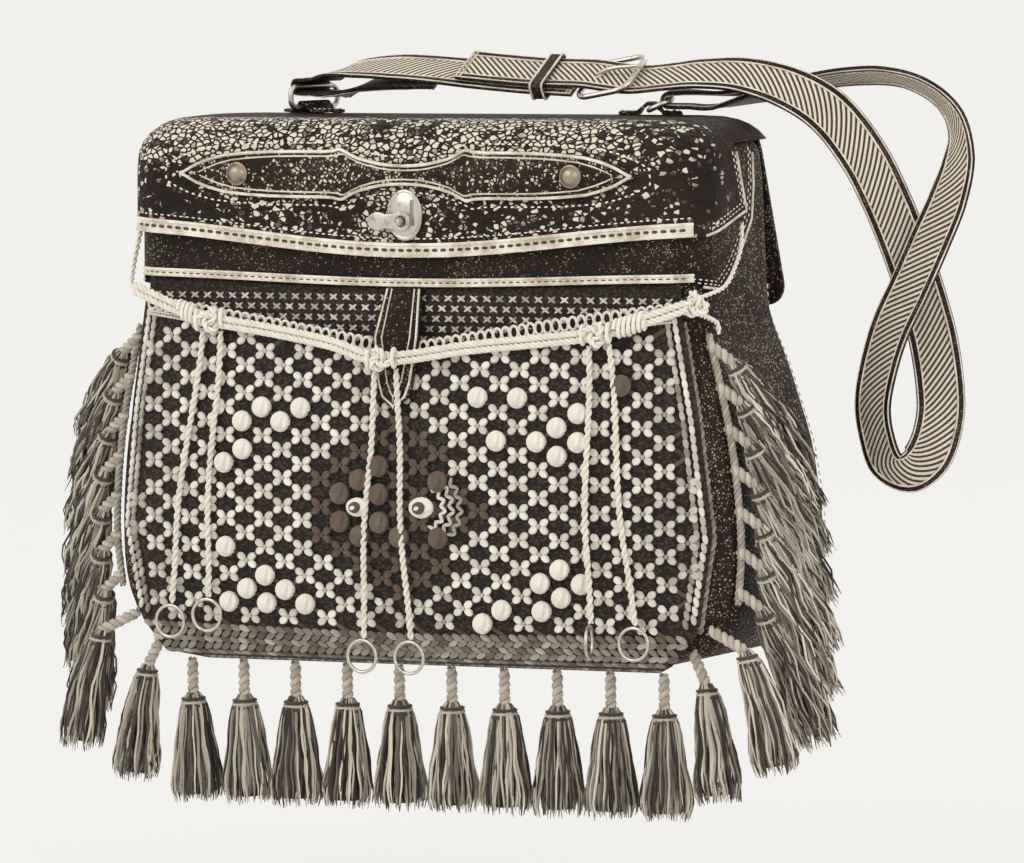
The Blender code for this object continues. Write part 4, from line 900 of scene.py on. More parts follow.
GRIP_HALF_LENGTH, GRIP_HALF_HEIGHT, GRIP_DROP, GRIP_THICKNESS = 0.130, 0.0135, 0.027, 0.0022
GRIP_ROWS = [
    (0.00, 0.39), (0.06, 0.41), (0.10, 0.45), (0.15, 0.54), (0.20, 0.66), (0.24, 0.82), (0.27, 0.98), (0.285, 1.00),
    (0.31, 0.93), (0.36, 0.90), (0.48, 0.90), (0.60, 0.88), (0.70, 0.83), (0.80, 0.74), (0.87, 0.58), (0.93, 0.38),
    (0.97, 0.18), (1.00, 0.02),
]
ornament_leather = leather("ornament_hide", (0.016, 0.010, 0.006), (0.72, 0.62, 0.47), amount=0.30, grain=480.0,
                            top=(0.12, 0.20))


def grip_outline(inset=0.0, count=110):
    """The ornament's edge on the lid, all the way round from the left tip."""
    reach = GRIP_HALF_LENGTH - inset * 2.2
    top = []
    for i in range(count + 1):
        x = reach * (2 * i / count - 1)
        half = blend_rows(GRIP_ROWS, min(1.0, abs(x) / reach))[1] * GRIP_HALF_HEIGHT - inset
        top.append((x, max(0.0002, half)))
    return [(x, h - GRIP_DROP) for x, h in top] + [(x, -h - GRIP_DROP) for x, h in reversed(top)]


base = FLAP_FACE_Y - GAP
rows = []
for i in range(141):
    x = GRIP_HALF_LENGTH * (i / 70 - 1)
    half = blend_rows(GRIP_ROWS, abs(x) / GRIP_HALF_LENGTH)[1] * GRIP_HALF_HEIGHT
    row = []
    for inset, high in ((0.0, 0.0), (0.0, 0.55), (0.0006, 0.90), (0.0016, 0.95), (0.0026, 0.62), (0.0045, 0.72),
                        (0.0080, 0.95), (1.0, 1.0)):
        row.append((x, base - GRIP_THICKNESS * high, max(0.0, half - inset) - GRIP_DROP))
    row += [(a, b, -2 * GRIP_DROP - c) for a, b, c in reversed(row[:-1])]
    rows.append(row)
size = len(rows[0])
faces = [(r * size + i, r * size + (i + 1) % size, (r + 1) * size + (i + 1) % size, (r + 1) * size + i)
         for r in range(140) for i in range(size)]
faces += [tuple(range(size)), tuple(140 * size + i for i in reversed(range(size)))]
mesh = bpy.data.meshes.new("lid_ornament")
mesh.from_pydata([p for row in rows for p in row], [], faces)
ornament = bpy.data.objects.new("lid_ornament", mesh)
bpy.context.scene.collection.objects.link(ornament)
mesh.materials.append(ornament_leather)
active(ornament)
bpy.ops.object.mode_set(mode="EDIT")
bpy.ops.mesh.select_all(action="SELECT")
bpy.ops.mesh.remove_doubles(threshold=0.00002)
bpy.ops.mesh.normals_make_consistent(inside=False)
bpy.ops.object.mode_set(mode="OBJECT")
bpy.ops.object.shade_smooth_by_angle(angle=math.radians(50))
dress(ornament, "dark_leather", "grip_ornament")

piping, rows = Heap(), Heap()
for inset, size, high in ((0.0007, 0.00080, 0.95), (0.0030, 0.00045, 0.68)):
    line = [(x, base - GRIP_THICKNESS * high, z) for x, z in grip_outline(inset)]
    piping.tube(even_path(line + line[:1], 0.0008), size, tone=0.85)
dress(piping.make("ornament_piping", edge_leather), "edge_leather")
outside = [(x, FLAP_FACE_Y - 0.0001, z) for x, z in grip_outline(-0.0036)]
stitch_row(rows, outside + outside[:1], pitch=0.0038, length=0.0024, width=0.0005)
line = front_line(band_reach, FLAP_DROP, FLAP_SAG, BAND_WIDTH + 0.0022, FLAP_FACE_Y - 0.0001)
stitch_row(rows, line, pitch=0.0036, length=0.0022, width=0.00038)
dress(rows.make("lid_stitches", thread), "edge_leather")


# Studs. Two domed snap heads, stamped with a bead round the edge and riveted through the ornament,
# dulled by handling.

BUTTON_RADIUS, BUTTON_HEIGHT, BUTTON_SPACING = 0.006, 0.004, 0.190
GRIP_FACE_Y = FLAP_FACE_Y - GAP - GRIP_THICKNESS
aged_metal = metal("aged_metal", (0.40, 0.33, 0.24), rough=0.34)


def turned(name, x, z, base_y, radius, height, profile, material, wide=1.0, tall=1.0, sides=48):
    """A turned or stamped round form that stands out towards the front."""
    points = []
    for share_r, share_h in profile:
        for i in range(sides):
            angle = 2 * math.pi * i / sides
            points.append((x + radius * wide * share_r * math.cos(angle), base_y - height * share_h,
                           z + radius * tall * share_r * math.sin(angle)))
    faces = [(r * sides + i, r * sides + (i + 1) % sides, (r + 1) * sides + (i + 1) % sides, (r + 1) * sides + i)
             for r in range(len(profile) - 1) for i in range(sides)]
    faces += [tuple(reversed(range(sides))), tuple((len(profile) - 1) * sides + i for i in range(sides))]
    mesh = bpy.data.meshes.new(name)
    mesh.from_pydata(points, [], faces)
    item = bpy.data.objects.new(name, mesh)
    bpy.context.scene.collection.objects.link(item)
    mesh.materials.append(material)
    active(item)
    bpy.ops.object.mode_set(mode="EDIT")
    bpy.ops.mesh.select_all(action="SELECT")
    bpy.ops.mesh.normals_make_consistent(inside=False)
    bpy.ops.object.mode_set(mode="OBJECT")
    bpy.ops.object.shade_smooth_by_angle(angle=math.radians(55))
    return item


STUD = [(1.0, 0.0), (1.0, 0.20), (0.95, 0.34), (0.87, 0.36), (0.81, 0.26), (0.76, 0.30), (0.68, 0.58), (0.52, 0.82),
        (0.32, 0.96), (0.10, 1.0)]
for side, sign in (("left", -1), ("right", 1)):
    stud = turned("stud_" + side, sign * BUTTON_SPACING / 2, -GRIP_DROP, GRIP_FACE_Y - GAP * 0.2, BUTTON_RADIUS,
                  BUTTON_HEIGHT, STUD, aged_metal)
    dress(stud, "bright_metal", "button_" + side)


# Clasp. An oval stamped plate with a slot and a turned post is riveted to the lid, and a flat lever
# with a thumb end turns on the post to lock the lid's tongue.

PLATE_WIDTH, PLATE_HEIGHT, PLATE_THICKNESS, PLATE_DROP = 0.020, 0.026, 0.003, 0.0472
POST_RADIUS, POST_HEIGHT, LEVER_LENGTH, LEVER_THICKNESS, LEVER_RIM = 0.0024, 0.0075, 0.013, 0.0024, 0.0024
PLATE_Y, PLATE_Z = FLAP_FACE_Y - GAP, -PLATE_DROP
POST_Z = PLATE_Z - PLATE_HEIGHT * 0.12
LEVER_Y = PLATE_Y - PLATE_THICKNESS - GAP

plate = turned("clasp_plate_stamped", 0, PLATE_Z, PLATE_Y, 1.0, PLATE_THICKNESS,
               [(1.0, 0.0), (1.0, 0.34), (0.96, 0.50), (0.90, 0.52), (0.86, 0.44), (0.82, 0.50), (0.66, 0.84),
                (0.45, 0.98), (0.10, 1.0)], bright_metal, wide=PLATE_WIDTH / 2, tall=PLATE_HEIGHT / 2)
slot_shape = []
for i in range(20):
    angle = 2 * math.pi * i / 20
    lift = 0.0055 if math.sin(angle) > 0 else -0.0055
    slot_shape.append((0.0052 + 0.0011 * math.cos(angle), PLATE_Z + 0.0012 + lift + 0.0011 * math.sin(angle)))
cut(plate, prism(slot_shape, "Y", PLATE_Y - 0.01, PLATE_Y - 0.0009))
active(plate)
bpy.ops.object.shade_smooth_by_angle(angle=math.radians(40))
post = turned("clasp_post", 0, POST_Z, PLATE_Y - PLATE_THICKNESS * 0.9, POST_RADIUS, POST_HEIGHT - PLATE_THICKNESS * 0.4,
              [(1.0, 0.0), (1.0, 0.60), (0.96, 0.72), (0.82, 0.86), (0.50, 0.97), (0.12, 1.0)], bright_metal)
dress(plate, "bright_metal", "clasp_plate")
dress(post, "bright_metal")

outline = []
eye_radius = POST_RADIUS + GAP + LEVER_RIM
knob = eye_radius * 0.9
for step in range(25):
    angle = math.radians(-130 + 260 * step / 24)
    outline.append((eye_radius * math.cos(angle), POST_Z + eye_radius * math.sin(angle)))
for step in range(25):
    angle = math.radians(50 + 260 * step / 24)
    outline.append((-LEVER_LENGTH + knob * 1.3 * math.cos(angle), POST_Z + knob * math.sin(angle)))
lever = prism(outline, "Y", LEVER_Y - LEVER_THICKNESS, LEVER_Y)
lever.name = lever.data.name = "clasp_lever_turned"
lever.data.materials.append(bright_metal)
hole = POST_RADIUS + GAP
cut(lever, prism([(hole * math.cos(math.pi * i / 20), POST_Z + hole * math.sin(math.pi * i / 20)) for i in range(40)],
                 "Y", LEVER_Y - 2 * LEVER_THICKNESS, LEVER_Y + LEVER_THICKNESS))
ease = lever.modifiers.new("ease", "BEVEL")
ease.width, ease.segments, ease.limit_method, ease.angle_limit = 0.0005, 3, "ANGLE", math.radians(40)
apply_modifiers(lever)
bpy.ops.object.shade_smooth_by_angle(angle=math.radians(35))
dress(lever, "bright_metal", "clasp_lever", body="clasp")


# Netted pocket. Hand knotted in two yarns: dark cords cross in a diamond mesh, a four-petal knot in
# pale yarn sits on each crossing, and the pocket bulges in front of the bag between its edge cords.

net_yarn = yarn("net_yarn", (0.10, 0.065, 0.040), (0.88, 0.83, 0.73), low=0.02)
ground_yarn = yarn("ground_yarn", (0.018, 0.012, 0.008), (0.30, 0.22, 0.14))
MESH_X, MESH_Z, CENTRE_Z = 0.0112, 0.0071, -0.195


def template(item):
    """Points and faces of a modelled shape, whose object is then not needed."""
    mesh = item.data
    points = np.empty(len(mesh.vertices) * 3)
    mesh.vertices.foreach_get("co", points)
    faces = [tuple(face.vertices) for face in mesh.polygons]
    bpy.data.objects.remove(item, do_unlink=True)
    return points.reshape(-1, 3), faces


def lay(heap, shape, centre, along, out, size, tone):
    """One copy of a small shape on a surface: its Y runs along, its Z points out."""
    along, out = Vector(along).normalized(), Vector(out).normalized()
    across = along.cross(out).normalized()
    out = across.cross(along)
    axes = np.array([across * size[0], along * size[1], out * size[2]])
    heap.add(shape[0] @ axes + np.array(tuple(centre)), shape[1], tone)


bpy.ops.object.select_all(action="DESELECT")
bpy.ops.mesh.primitive_uv_sphere_add(segments=8, ring_count=6, radius=0.5, rotation=(math.radians(90), 0, 0))
bpy.ops.object.transform_apply()
petal_item = bpy.context.object
for vertex in petal_item.data.vertices:
    if abs(vertex.co.x) < 0.01 and vertex.co.z > 0.1 and abs(vertex.co.y) < 0.45:
        vertex.co.z *= 0.40
petal = template(petal_item)

bpy.ops.object.select_all(action="DESELECT")
bpy.ops.mesh.primitive_uv_sphere_add(segments=18, ring_count=8, radius=0.5, rotation=(math.radians(90), 0, 0))
bpy.ops.object.transform_apply()
berry_item = bpy.context.object
for vertex in berry_item.data.vertices:
    if round(math.atan2(vertex.co.z, vertex.co.x) / (math.pi / 9)) % 3 == 0:
        vertex.co.xz *= 0.72
berry = template(berry_item)


def net_place(x, z, out=0.0):
    """A place on the net's face, and the way it faces."""
    step = 0.002
    here = Vector((x, net_face_y(x, z, out), z))
    side = Vector((2 * step, net_face_y(x + step, z, out) - net_face_y(x - step, z, out), 0))
    rise = Vector((0, net_face_y(x, z + step, out) - net_face_y(x, z - step, out), 2 * step))
    return here, side.cross(rise).normalized()


def net_edge(z):
    top = net_top(0.12)
    down = min(1.0, max(0.0, (z - top) / (-NET_BOTTOM_DROP - top)))
    return blend_rows(NET_ROWS, down)[1] * NET_HALF_WIDTH


BERRIES = {
    (-9, -3), (-9, 3), (-9, 7), (-8, -6), (-8, -4), (-8, 6), (-7, -7), (-7, 5), (-7, 7), (-6, -6), (-6, 6), (-5, -7),
    (-5, 7), (4, -8), (4, 8), (5, -5), (5, 7), (6, -8), (7, -5), (7, 5), (7, 7), (8, -6), (8, -4), (8, 4), (8, 6),
    (9, -7), (9, -5), (9, 5),
}
ROSETTE = {(-1, -3), (-1, -1), (-1, 1), (-3, 1), (0, 2), (-3, -1), (-2, 2), (2, 2), (2, -2), (-2, -2), (11, -9)}
random.seed(7)
petals, mesh_cords, berries = Heap(), Heap(), Heap()
for column in range(-15, 16):
    for line in range(-14, 10):
        if (column + line) % 2:
            continue
        x, z = column * MESH_X - 0.0005, CENTRE_Z - line * MESH_Z
        if abs(x) > net_edge(z) - 0.0085 or z > net_top(x) - 0.0085 or z < -0.2525:
            continue
        here, out = net_place(x, z, -0.0016)
        diamond = abs(x + 0.003) / 0.060 + abs(z - CENTRE_Z) / 0.050
        edge = max(0.0, abs(x) / net_edge(z) - 0.72) / 0.28
        # Petals are darker towards the pocket's sides. A band down the middle, under the tongue and the middle hanging
        # cords, is painted shade.
        tone = 0.84 - 0.30 * edge ** 1.5 - 0.12 * (abs(x) < 0.03)
        if diamond < 1.0:
            tone = 0.04
        for a, b in ((1, 1), (1, -1), (-1, 1), (-1, -1)):
            nx, nz = x + a * MESH_X, z + b * MESH_Z
            inside = abs(nx) < net_edge(nz) - 0.004 and nz < net_top(nx) - 0.004 and nz > -0.262
            if a > 0 and inside:
                far, _ = net_place(nx, nz, -0.0016)
                middle = (here + far) / 2 + out * 0.0002
                mesh_cords.tube([here, middle, far], 0.0011, sides=5, tone=0.25 + 0.2 * random.random())
            way = Vector((a * MESH_X, 0, b * MESH_Z)).normalized()
            spot, facing = net_place(x + way.x * 0.0036, z + way.z * 0.0036, -0.0006)
            if (column, line) not in BERRIES and (column, line) not in ROSETTE:
                lay(petals, petal, spot, way, facing, (0.0041, 0.0052, 0.0034),
                    max(0.0, tone + random.uniform(-0.16, 0.12)))
        mark = (column, line)
        if mark in BERRIES:
            lay(berries, berry, here + out * 0.0026, (0.3, 0, 1), out, (0.0108, 0.0108, 0.0086), 0.90)
        elif mark in ROSETTE:
            lay(berries, berry, here + out * 0.0020, (0.3, 0, 1), out, (0.0112, 0.0112, 0.0080), 0.16)
        else:
            lay(berries, petal, here + out * 0.0012, (0, 0, 1), out, (0.0022, 0.0024, 0.0022),
                max(0.0, tone - 0.25))
for x, z, size in ((-0.0235, -0.1945, 0.9), (0.0130, -0.1940, 1.0)):
    spot, out = net_place(x, z, 0.0016)
    lay(berries, berry, spot, (1, 0, 0), out, (0.0110 * size, 0.0140 * size, 0.0070), 0.92)
    lay(berries, berry, spot + out * 0.0030, (1, 0, 0), out, (0.0066 * size, 0.0072 * size, 0.0050), 0.02)
    lay(berries, petal, spot + out * 0.0056, (1, 0, 0.4), out, (0.0022, 0.0030, 0.0016), 0.9)
for reach, span, tone in ((0.0115, 62, 0.80), (0.0160, 52, 0.62), (0.0205, 40, 0.45)):
    for i in range(11):
        turn = math.radians(span * (i / 5 - 1))
        spot, out = net_place(0.0130 + reach * math.cos(turn) * 1.05, -0.1940 + reach * math.sin(turn), 0.0008)
        slant = turn + (0.9 if i % 2 else -0.9) + math.pi / 2
        lay(petals, petal, spot, (math.cos(slant), 0, math.sin(slant)), out, (0.0020, 0.0052, 0.0020), tone)

# The pocket's ground: a layer of fine dark mesh under the knots; its darkness stands partly for the dark bag and partly
# for painted shade seen through the net.
rows = []
for r in range(37):
    down = (0.02 + 0.98 * r / 36)
    rows.append([net_point(2 * i / 60 - 1, down, 0.0004) for i in range(61)])
mesh = bpy.data.meshes.new("net_ground")
mesh.from_pydata([tuple(p) for row in rows for p in row], [],
                 [(r * 61 + i, (r + 1) * 61 + i, (r + 1) * 61 + i + 1, r * 61 + i + 1)
                  for r in range(36) for i in range(60)])
ground = bpy.data.objects.new("net_ground", mesh)
bpy.context.scene.collection.objects.link(ground)
if mesh.polygons[500].normal.y > 0:
    mesh.flip_normals()
weave = Finish("dark_mesh_and_shade")
where = weave.spots()
# Mesh cells: the holes between them are painted darkest, as shade.
shaded_holes = weave.cells(weave.spots((1, 1, 1.3)), 420.0)
fuzz = weave.noise(where, 900.0, 3.0)
mesh.materials.append(weave.paint(
    weave.mix((shaded_holes * 1.1 + fuzz * 0.4).step(0.30, 0.95), (0.060, 0.040, 0.025, 1), (0.010, 0.007, 0.005, 1)),
    rough=fuzz * 0.1 + 0.85, height=1 - shaded_holes, depth=0.0006))
add_wall(ground, 0.0009, 1, edge=0.0002)
dress(ground, "net_yarn", "net_front")
worked = [dress(heap.make(name, material), "net_yarn")
          for heap, name, material in ((mesh_cords, "mesh_cords", ground_yarn), (petals, "net_petals", net_yarn),
                                       (berries, "net_knots", net_yarn))]


# Net edging. The mouth is finished with a row of crochet loops, the sides with long upright stitches,
# and the foot with a dense plaited band that turns in under the bag.

edging = Heap()
count = 64
for i in range(count):
    x = -0.1495 + 0.299 * (i + 0.5) / count
    spot, out = net_place(x, net_top(x) - 0.0026, 0.0)
    slope = Vector((0.002, 0, net_top(x + 0.001) - net_top(x - 0.001))).normalized()
    rise = out.cross(slope)
    loop = [spot + slope * 0.0023 * math.cos(a) - rise * 0.0032 * math.sin(a)
            for a in np.linspace(0, 2 * math.pi, 13)]
    edging.tube(loop, 0.00075, sides=5, tone=0.85)
for low in (0.0068, 0.0084):
    line = [net_place(x, net_top(x) - low, -0.0003)[0] for x in np.linspace(-0.1495, 0.1495, 90)]
    edging.rope(line, 0.0017, 0.004, tone=0.75, sides=5)
for sign in (-1, 1):
    for column, tone in ((0.0030, 0.72), (0.0068, 0.45)):
        for i in range(34):
            z = -0.0985 - 0.154 * (i + 0.5 * (column > 0.005)) / 34
            x = sign * (net_edge(z) - column)
            spot, out = net_place(x, z, -0.0008)
            lay(edging, petal, spot, (sign * -0.25, 0, 1), out, (0.0030, 0.0056, 0.0026),
                tone + random.uniform(-0.15, 0.15))
    seam = []
    for z in np.linspace(-0.100, -0.255, 40):
        x = net_edge(z) - 0.0012
        half, front, _ = section_at(z)
        past = max(0.0, x - half + CORNER)
        skin = front + CORNER - math.sqrt(max(0.0, CORNER ** 2 - past ** 2))
        seam.append((sign * x, (skin + FRONT_Y - NET_BACK_WALL) / 2, z))
    edging.rope(seam, 0.0042, 0.0080, tone=0.35)
for row in range(6):
    down = 0.902 + 0.098 * row / 5.4
    for i in range(58):
        across = (i + 0.5 + 0.5 * (row % 2)) / 29.25 - 1
        if abs(across) > 0.985:
            continue
        spot = net_point(across, down, NET_WALL - 0.0008)
        near, under = net_point(across + 0.01, down, NET_WALL), net_point(across, down + 0.008, NET_WALL)
        here = net_point(across, down, NET_WALL)
        out = (near - here).cross(here - under).normalized()
        if out.y > 0.2:
            out = -out
        lean = 0.55 if row % 2 else -0.55
        way = (near - here).normalized() + (here - under).normalized() * lean
        lay(edging, petal, spot, way, out, (0.0034, 0.0066, 0.0030),
            max(0.0, 0.34 + 0.25 * math.sin(i * 1.9 + row) * random.random()))
worked.append(dress(edging.make("net_edging", net_yarn), "net_yarn"))


# Back of the net. A flat strip of finer mesh is sewn to the bag's front behind the pocket's mouth,
# with small crossed stitches in pale yarn.

NET_BACK_DROP = 0.135
half = NET_HALF_WIDTH * 0.90
rows = []
for share in np.linspace(0, 1, 9):
    row = []
    for i in range(41):
        x = half * (2 * i / 40 - 1)
        top = lower_edge(x, UNDER_DROP, UNDER_SAG) - GAP * 2
        row.append((x, FRONT_Y - GAP, top + share * (-NET_BACK_DROP - top)))
    rows.append(row)
mesh = bpy.data.meshes.new("net_back_ground")
mesh.from_pydata([p for row in rows for p in row], [],
                 [(r * 41 + i, (r + 1) * 41 + i, (r + 1) * 41 + i + 1, r * 41 + i + 1)
                  for r in range(8) for i in range(40)])
backing = bpy.data.objects.new("net_back_ground", mesh)
bpy.context.scene.collection.objects.link(backing)
mesh.materials.append(ground.data.materials[0])
if mesh.polygons[5].normal.y > 0:
    mesh.flip_normals()
add_wall(backing, 0.0008, 1, edge=0.0002)
dress(backing, "net_yarn", "net_back")
crosses = Heap()
for row in range(7):
    for i in range(42):
        x = -half + 0.004 + (i + 0.5 * (row % 2)) * 0.0073
        z = -0.0895 - row * 0.0052
        if x > half - 0.004 or z > lower_edge(x, UNDER_DROP, UNDER_SAG) - 0.003:
            continue
        spot = Vector((x, FRONT_Y - GAP - 0.0010, z))
        for lean in (0.7, -0.7):
            lay(crosses, petal, spot, (1, 0, lean), (0, -1, 0), (0.0014, 0.0054, 0.0011),
                0.62 + random.uniform(-0.2, 0.25))
crosses = dress(crosses.make("net_back_stitches", net_yarn), "net_yarn")


# Closing tongue. A strip of hide sewn under the inner lid hangs in front of the net, passes behind
# the drawstring and ends in a point; its edges are piped twice in pale leather.

tip, start = -TAB_TIP_DROP, lower_edge(TAB_X, UNDER_DROP, UNDER_SAG) - GAP * 2
knots = []
for share, width in ((0.0, 0.77), (0.40, 1.0), (0.78, 0.80), (0.90, 0.62), (1.0, 0.04)):
    z = start + share * (tip - start)
    y = min(FRONT_Y - NET_BACK_WALL - 2 * GAP, net_face_y(TAB_X, z) - GAP if z < -0.100 else 0.0)
    knots.append((share, TAB_FLARE / 2 * width, y, z))
rows = [blend_rows(knots, i / 40) for i in range(41)]
mesh = bpy.data.meshes.new("closing_tongue")
mesh.from_pydata([(TAB_X + row[1] * (a / 4 - 1), row[2] - 0.0003 * (1 - abs(a / 4 - 1)), row[3])
                  for row in rows for a in range(9)], [],
                 [(r * 9 + a, r * 9 + a + 1, (r + 1) * 9 + a + 1, (r + 1) * 9 + a)
                  for r in range(40) for a in range(8)])
tongue = bpy.data.objects.new("closing_tongue", mesh)
bpy.context.scene.collection.objects.link(tongue)
mesh.materials.append(under_leather)
if mesh.polygons[10].normal.y > 0:
    mesh.flip_normals()
add_wall(tongue, TAB_THICKNESS - 0.0004, 1, edge=0.0004)
dress(tongue, "dark_leather", "closing_tab")
edges = Heap()
for inset, size in ((0.0010, 0.00060), (0.0036, 0.00042)):
    line = [(TAB_X + side * max(0.0, row[1] - inset * (1 + row[0])), row[2] - TAB_THICKNESS + 0.0001, row[3] + inset * row[0] ** 6)
            for side, part in ((-1, rows), (1, rows[::-1])) for row in part]
    edges.tube(even_path(line, 0.0008), size, sides=5, tone=0.85)
dress(edges.make("tongue_piping", edge_leather), "edge_leather")


# Drawstring. Two laid cords run side by side along the pocket's mouth and are knotted together in
# three places, where the hanging cords are tied in; their ends are whipped and led up the sides.

string = Heap()
points = [Vector((x, string_y(x, z, stand), z)) for x, z, stand in STRING_ROWS]
path = smooth_path(points, 6)
for point in path:
    point.y = min(point.y, string_y(point.x, point.z, 0.0))
path = [Vector(tuple(p)) for p in even_path(path, 0.003)]
for i in range(1, len(path) - 1):
    path[i].y = min(path[i].y, (path[i - 1].y + path[i + 1].y) / 2)
ups = []
for i, point in enumerate(path):
    ahead = path[min(i + 1, len(path) - 1)] - path[max(i - 1, 0)]
    ups.append(Vector((0, -1, 0)).cross(ahead).normalized())
for side in (-1, 1):
    line = [p + up * side * DRAWCORD_DIAMETER * 0.49 for p, up in zip(path, ups)]
    string.rope(line, DRAWCORD_DIAMETER, 0.0095, plies=3, tone=0.66)


def knot_cord(heap, centre, size, diameter, flat=0.62, turn=0.0):
    """A round overhand knot, drawn tight."""
    line = []
    for i in range(61):
        t = 2 * math.pi * i / 60
        a, b = math.sin(t) + 2 * math.sin(2 * t), math.cos(t) - 2 * math.cos(2 * t)
        line.append(centre + Vector((size * (a * math.cos(turn) - b * math.sin(turn)), -size * flat * math.sin(3 * t) * 1.2,
                                     size * (a * math.sin(turn) + b * math.cos(turn)))))
    heap.rope(line, diameter, 0.0085, plies=2, tone=0.70, ends=1.0)


for number, (x, z, stand) in enumerate(KNOTS):
    centre = Vector((x, string_y(x, z, stand) - KNOT_RADIUS * 0.30, z))
    knot_cord(string, centre, 0.00195, 0.0034, turn=0.5 + number)
    for side in (-1, 1):
        ring = [centre + Vector((side * 0.0072, 0.0021 * math.cos(a) + 0.0012, 0.0046 * math.sin(a) + side * 0.0006))
                for a in np.linspace(0, 2 * math.pi, 17)]
        string.tube(ring, 0.0011, tone=0.75)
for start_x, turns in ((0.121, 6), (-0.128, 4)):
    coil = []
    for i in range(turns * 16 + 1):
        a = 2 * math.pi * i / 16
        x = start_x + 0.0026 * a / (2 * math.pi)
        z = float(np.interp(x, [p.x for p in path], [p.z for p in path]))
        y = float(np.interp(x, [p.x for p in path], [p.y for p in path]))
        coil.append(Vector((x, y - 0.0024 * math.cos(a), z + 0.0044 * math.sin(a))))
    string.tube(coil, 0.0011, tone=0.78)
right_end, left_end = path[-1], path[0]
knot_cord(string, right_end + Vector((0.0040, 0.0010, 0.0005)), 0.0021, 0.0036, turn=1.2)
tail = smooth_path([right_end + Vector((0.004, -0.001, 0.003)), (0.1680, -0.0870, -0.0830), (0.1690, -0.0760, -0.0740),
                    (0.1688, -0.0680, -0.0640), (0.1688, -0.0660, -0.0520)], 8)
string.rope(tail, 0.0024, 0.0065, tone=0.72)
tail = smooth_path([right_end + Vector((0.005, -0.001, -0.003)), (0.1650, -0.0900, -0.1000), (0.1660, -0.0885, -0.1060)], 8)
string.rope(tail, 0.0028, 0.0070, tone=0.72)
tail = smooth_path([left_end + Vector((0.004, 0, 0)), (-0.1640, -0.0980, -0.0850), (-0.1675, -0.0900, -0.0760),
                    (-0.1678, -0.0840, -0.0640), (-0.1676, -0.0800, -0.0540)], 8)
string.rope(tail, 0.0030, 0.0075, tone=0.70)
dress(string.make("drawstring", cord_yarn), "cord_yarn", "drawcord")


# Tassels. Each is a hank of crimped yarn bound at the neck and hung from a thick twisted stem, in
# pale and dark strands; ten hang along the foot of the net and two from each corner of the bag.

TASSEL_STEM, TASSEL_SKIRT, TASSEL_RADIUS, TASSEL_SPACING = 0.016, 0.049, 0.0125, 0.030
STEM_RADIUS = 0.0032
LOCK_ROWS = [(0.00, 0.22), (0.03, 0.38), (0.14, 0.54), (0.50, 0.78), (0.88, 1.00), (1.00, 0.90), (1.20, 0.86)]
tassel_yarn = yarn("tassel_yarn", (0.035, 0.022, 0.013), (0.80, 0.72, 0.58), rough=0.8)


def tassel(heap, root, stem_way, hang_way, stem, skirt, radius, strands=120, wave=0.55, longer=1.0):
    """One tassel: its stem, the binding at its neck, a dark core that stands for the shade inside the hank, and the
    crimped strands over it, painted darker the further in they lie.
    """
    root, way, fall = Vector(root), Vector(stem_way).normalized(), Vector(hang_way).normalized()
    neck = root + way * stem
    side = fall.cross(Vector((0, 1, 0.2))).normalized()
    other = fall.cross(side).normalized()

    def centre(down):
        return neck + way * skirt * 0.25 * min(down, 0.4) + fall * skirt * down

    heap.rope([root - way * 0.0016, root.lerp(neck, 0.5), neck + way * 0.002], STEM_RADIUS * 1.9, 0.0085, tone=0.62, step=0.0011)
    for i in range(3):
        spot = centre(0.050 + 0.030 * i)
        loop = [spot + (side * math.cos(a) + other * math.sin(a)) * radius * (0.41 + 0.02 * i)
                for a in np.linspace(0, 2 * math.pi, 17)]
        heap.tube(loop, 0.0009, sides=5, tone=0.15 + 0.5 * (i % 2))
    # Dark core: painted shade for the inside of the hank.
    core = [centre(d) for d in np.linspace(0.02, 0.96, 7)]
    heap.tube(core, [radius * blend_rows(LOCK_ROWS, d)[1] * 0.60 for d in np.linspace(0.02, 0.96, 7)], sides=8, tone=0.0)
    for number in range(strands):
        turn = 2 * math.pi * number / strands * 5.0 + random.uniform(-0.2, 0.2)
        deep = random.choice((0.62, 0.78, 0.90, 1.0))
        length = longer * random.uniform(0.92, 1.05)
        phase, crimp = random.uniform(0, 6.3), random.uniform(0.5, 1.3) * 0.0007 * wave
        drift = random.uniform(-0.25, 0.25)
        line = []
        for down in np.linspace(0.0, length, 10):
            angle = turn + drift * down
            size = radius * blend_rows(LOCK_ROWS, down)[1] * deep
            sway = crimp * math.sin(down * 12 + phase) * min(1.0, down * 4)
            line.append(centre(down) + side * (size * math.cos(angle) + sway) + other * (size * math.sin(angle) - sway))
        thick = random.uniform(0.00045, 0.00076)
        radii = [thick * 0.8] + [thick] * 7 + [thick * 0.8, thick * 0.3]
        # Strands lying further in get a darker tone, as painted shade inside the hank.
        heap.tube(line, radii, sides=4, tone=random.choice((0.02, 0.15, 0.35, 0.55, 0.75, 0.95)) * (0.55 + 0.45 * deep))


random.seed(23)
fold, hem = net_point(0, NET_ROWS[-2][0]), net_point(0, 1.0)
hem_slope = (fold.z - hem.z) / (hem.y - fold.y)
ROOT_Y = FRONT_Y + 0.006
hem_under = fold.z - hem_slope * (ROOT_Y - fold.y) - NET_WALL * math.sqrt(1 + hem_slope ** 2)
ROOT_Z = hem_under - STEM_RADIUS * hem_slope - GAP
for number in range(10):
    x = (number - 4.5) * TASSEL_SPACING
    heap = Heap()
    tassel(heap, (x, ROOT_Y, ROOT_Z), (0, 0, -1), (random.uniform(-0.03, 0.03), random.uniform(-0.03, 0.03), -1),
           TASSEL_STEM, TASSEL_SKIRT, TASSEL_RADIUS * 1.10)
    dress(heap.make("foot_tassel_%02d" % (number + 1), tassel_yarn), "tassel_yarn", "tassel_%02d" % (number + 1))


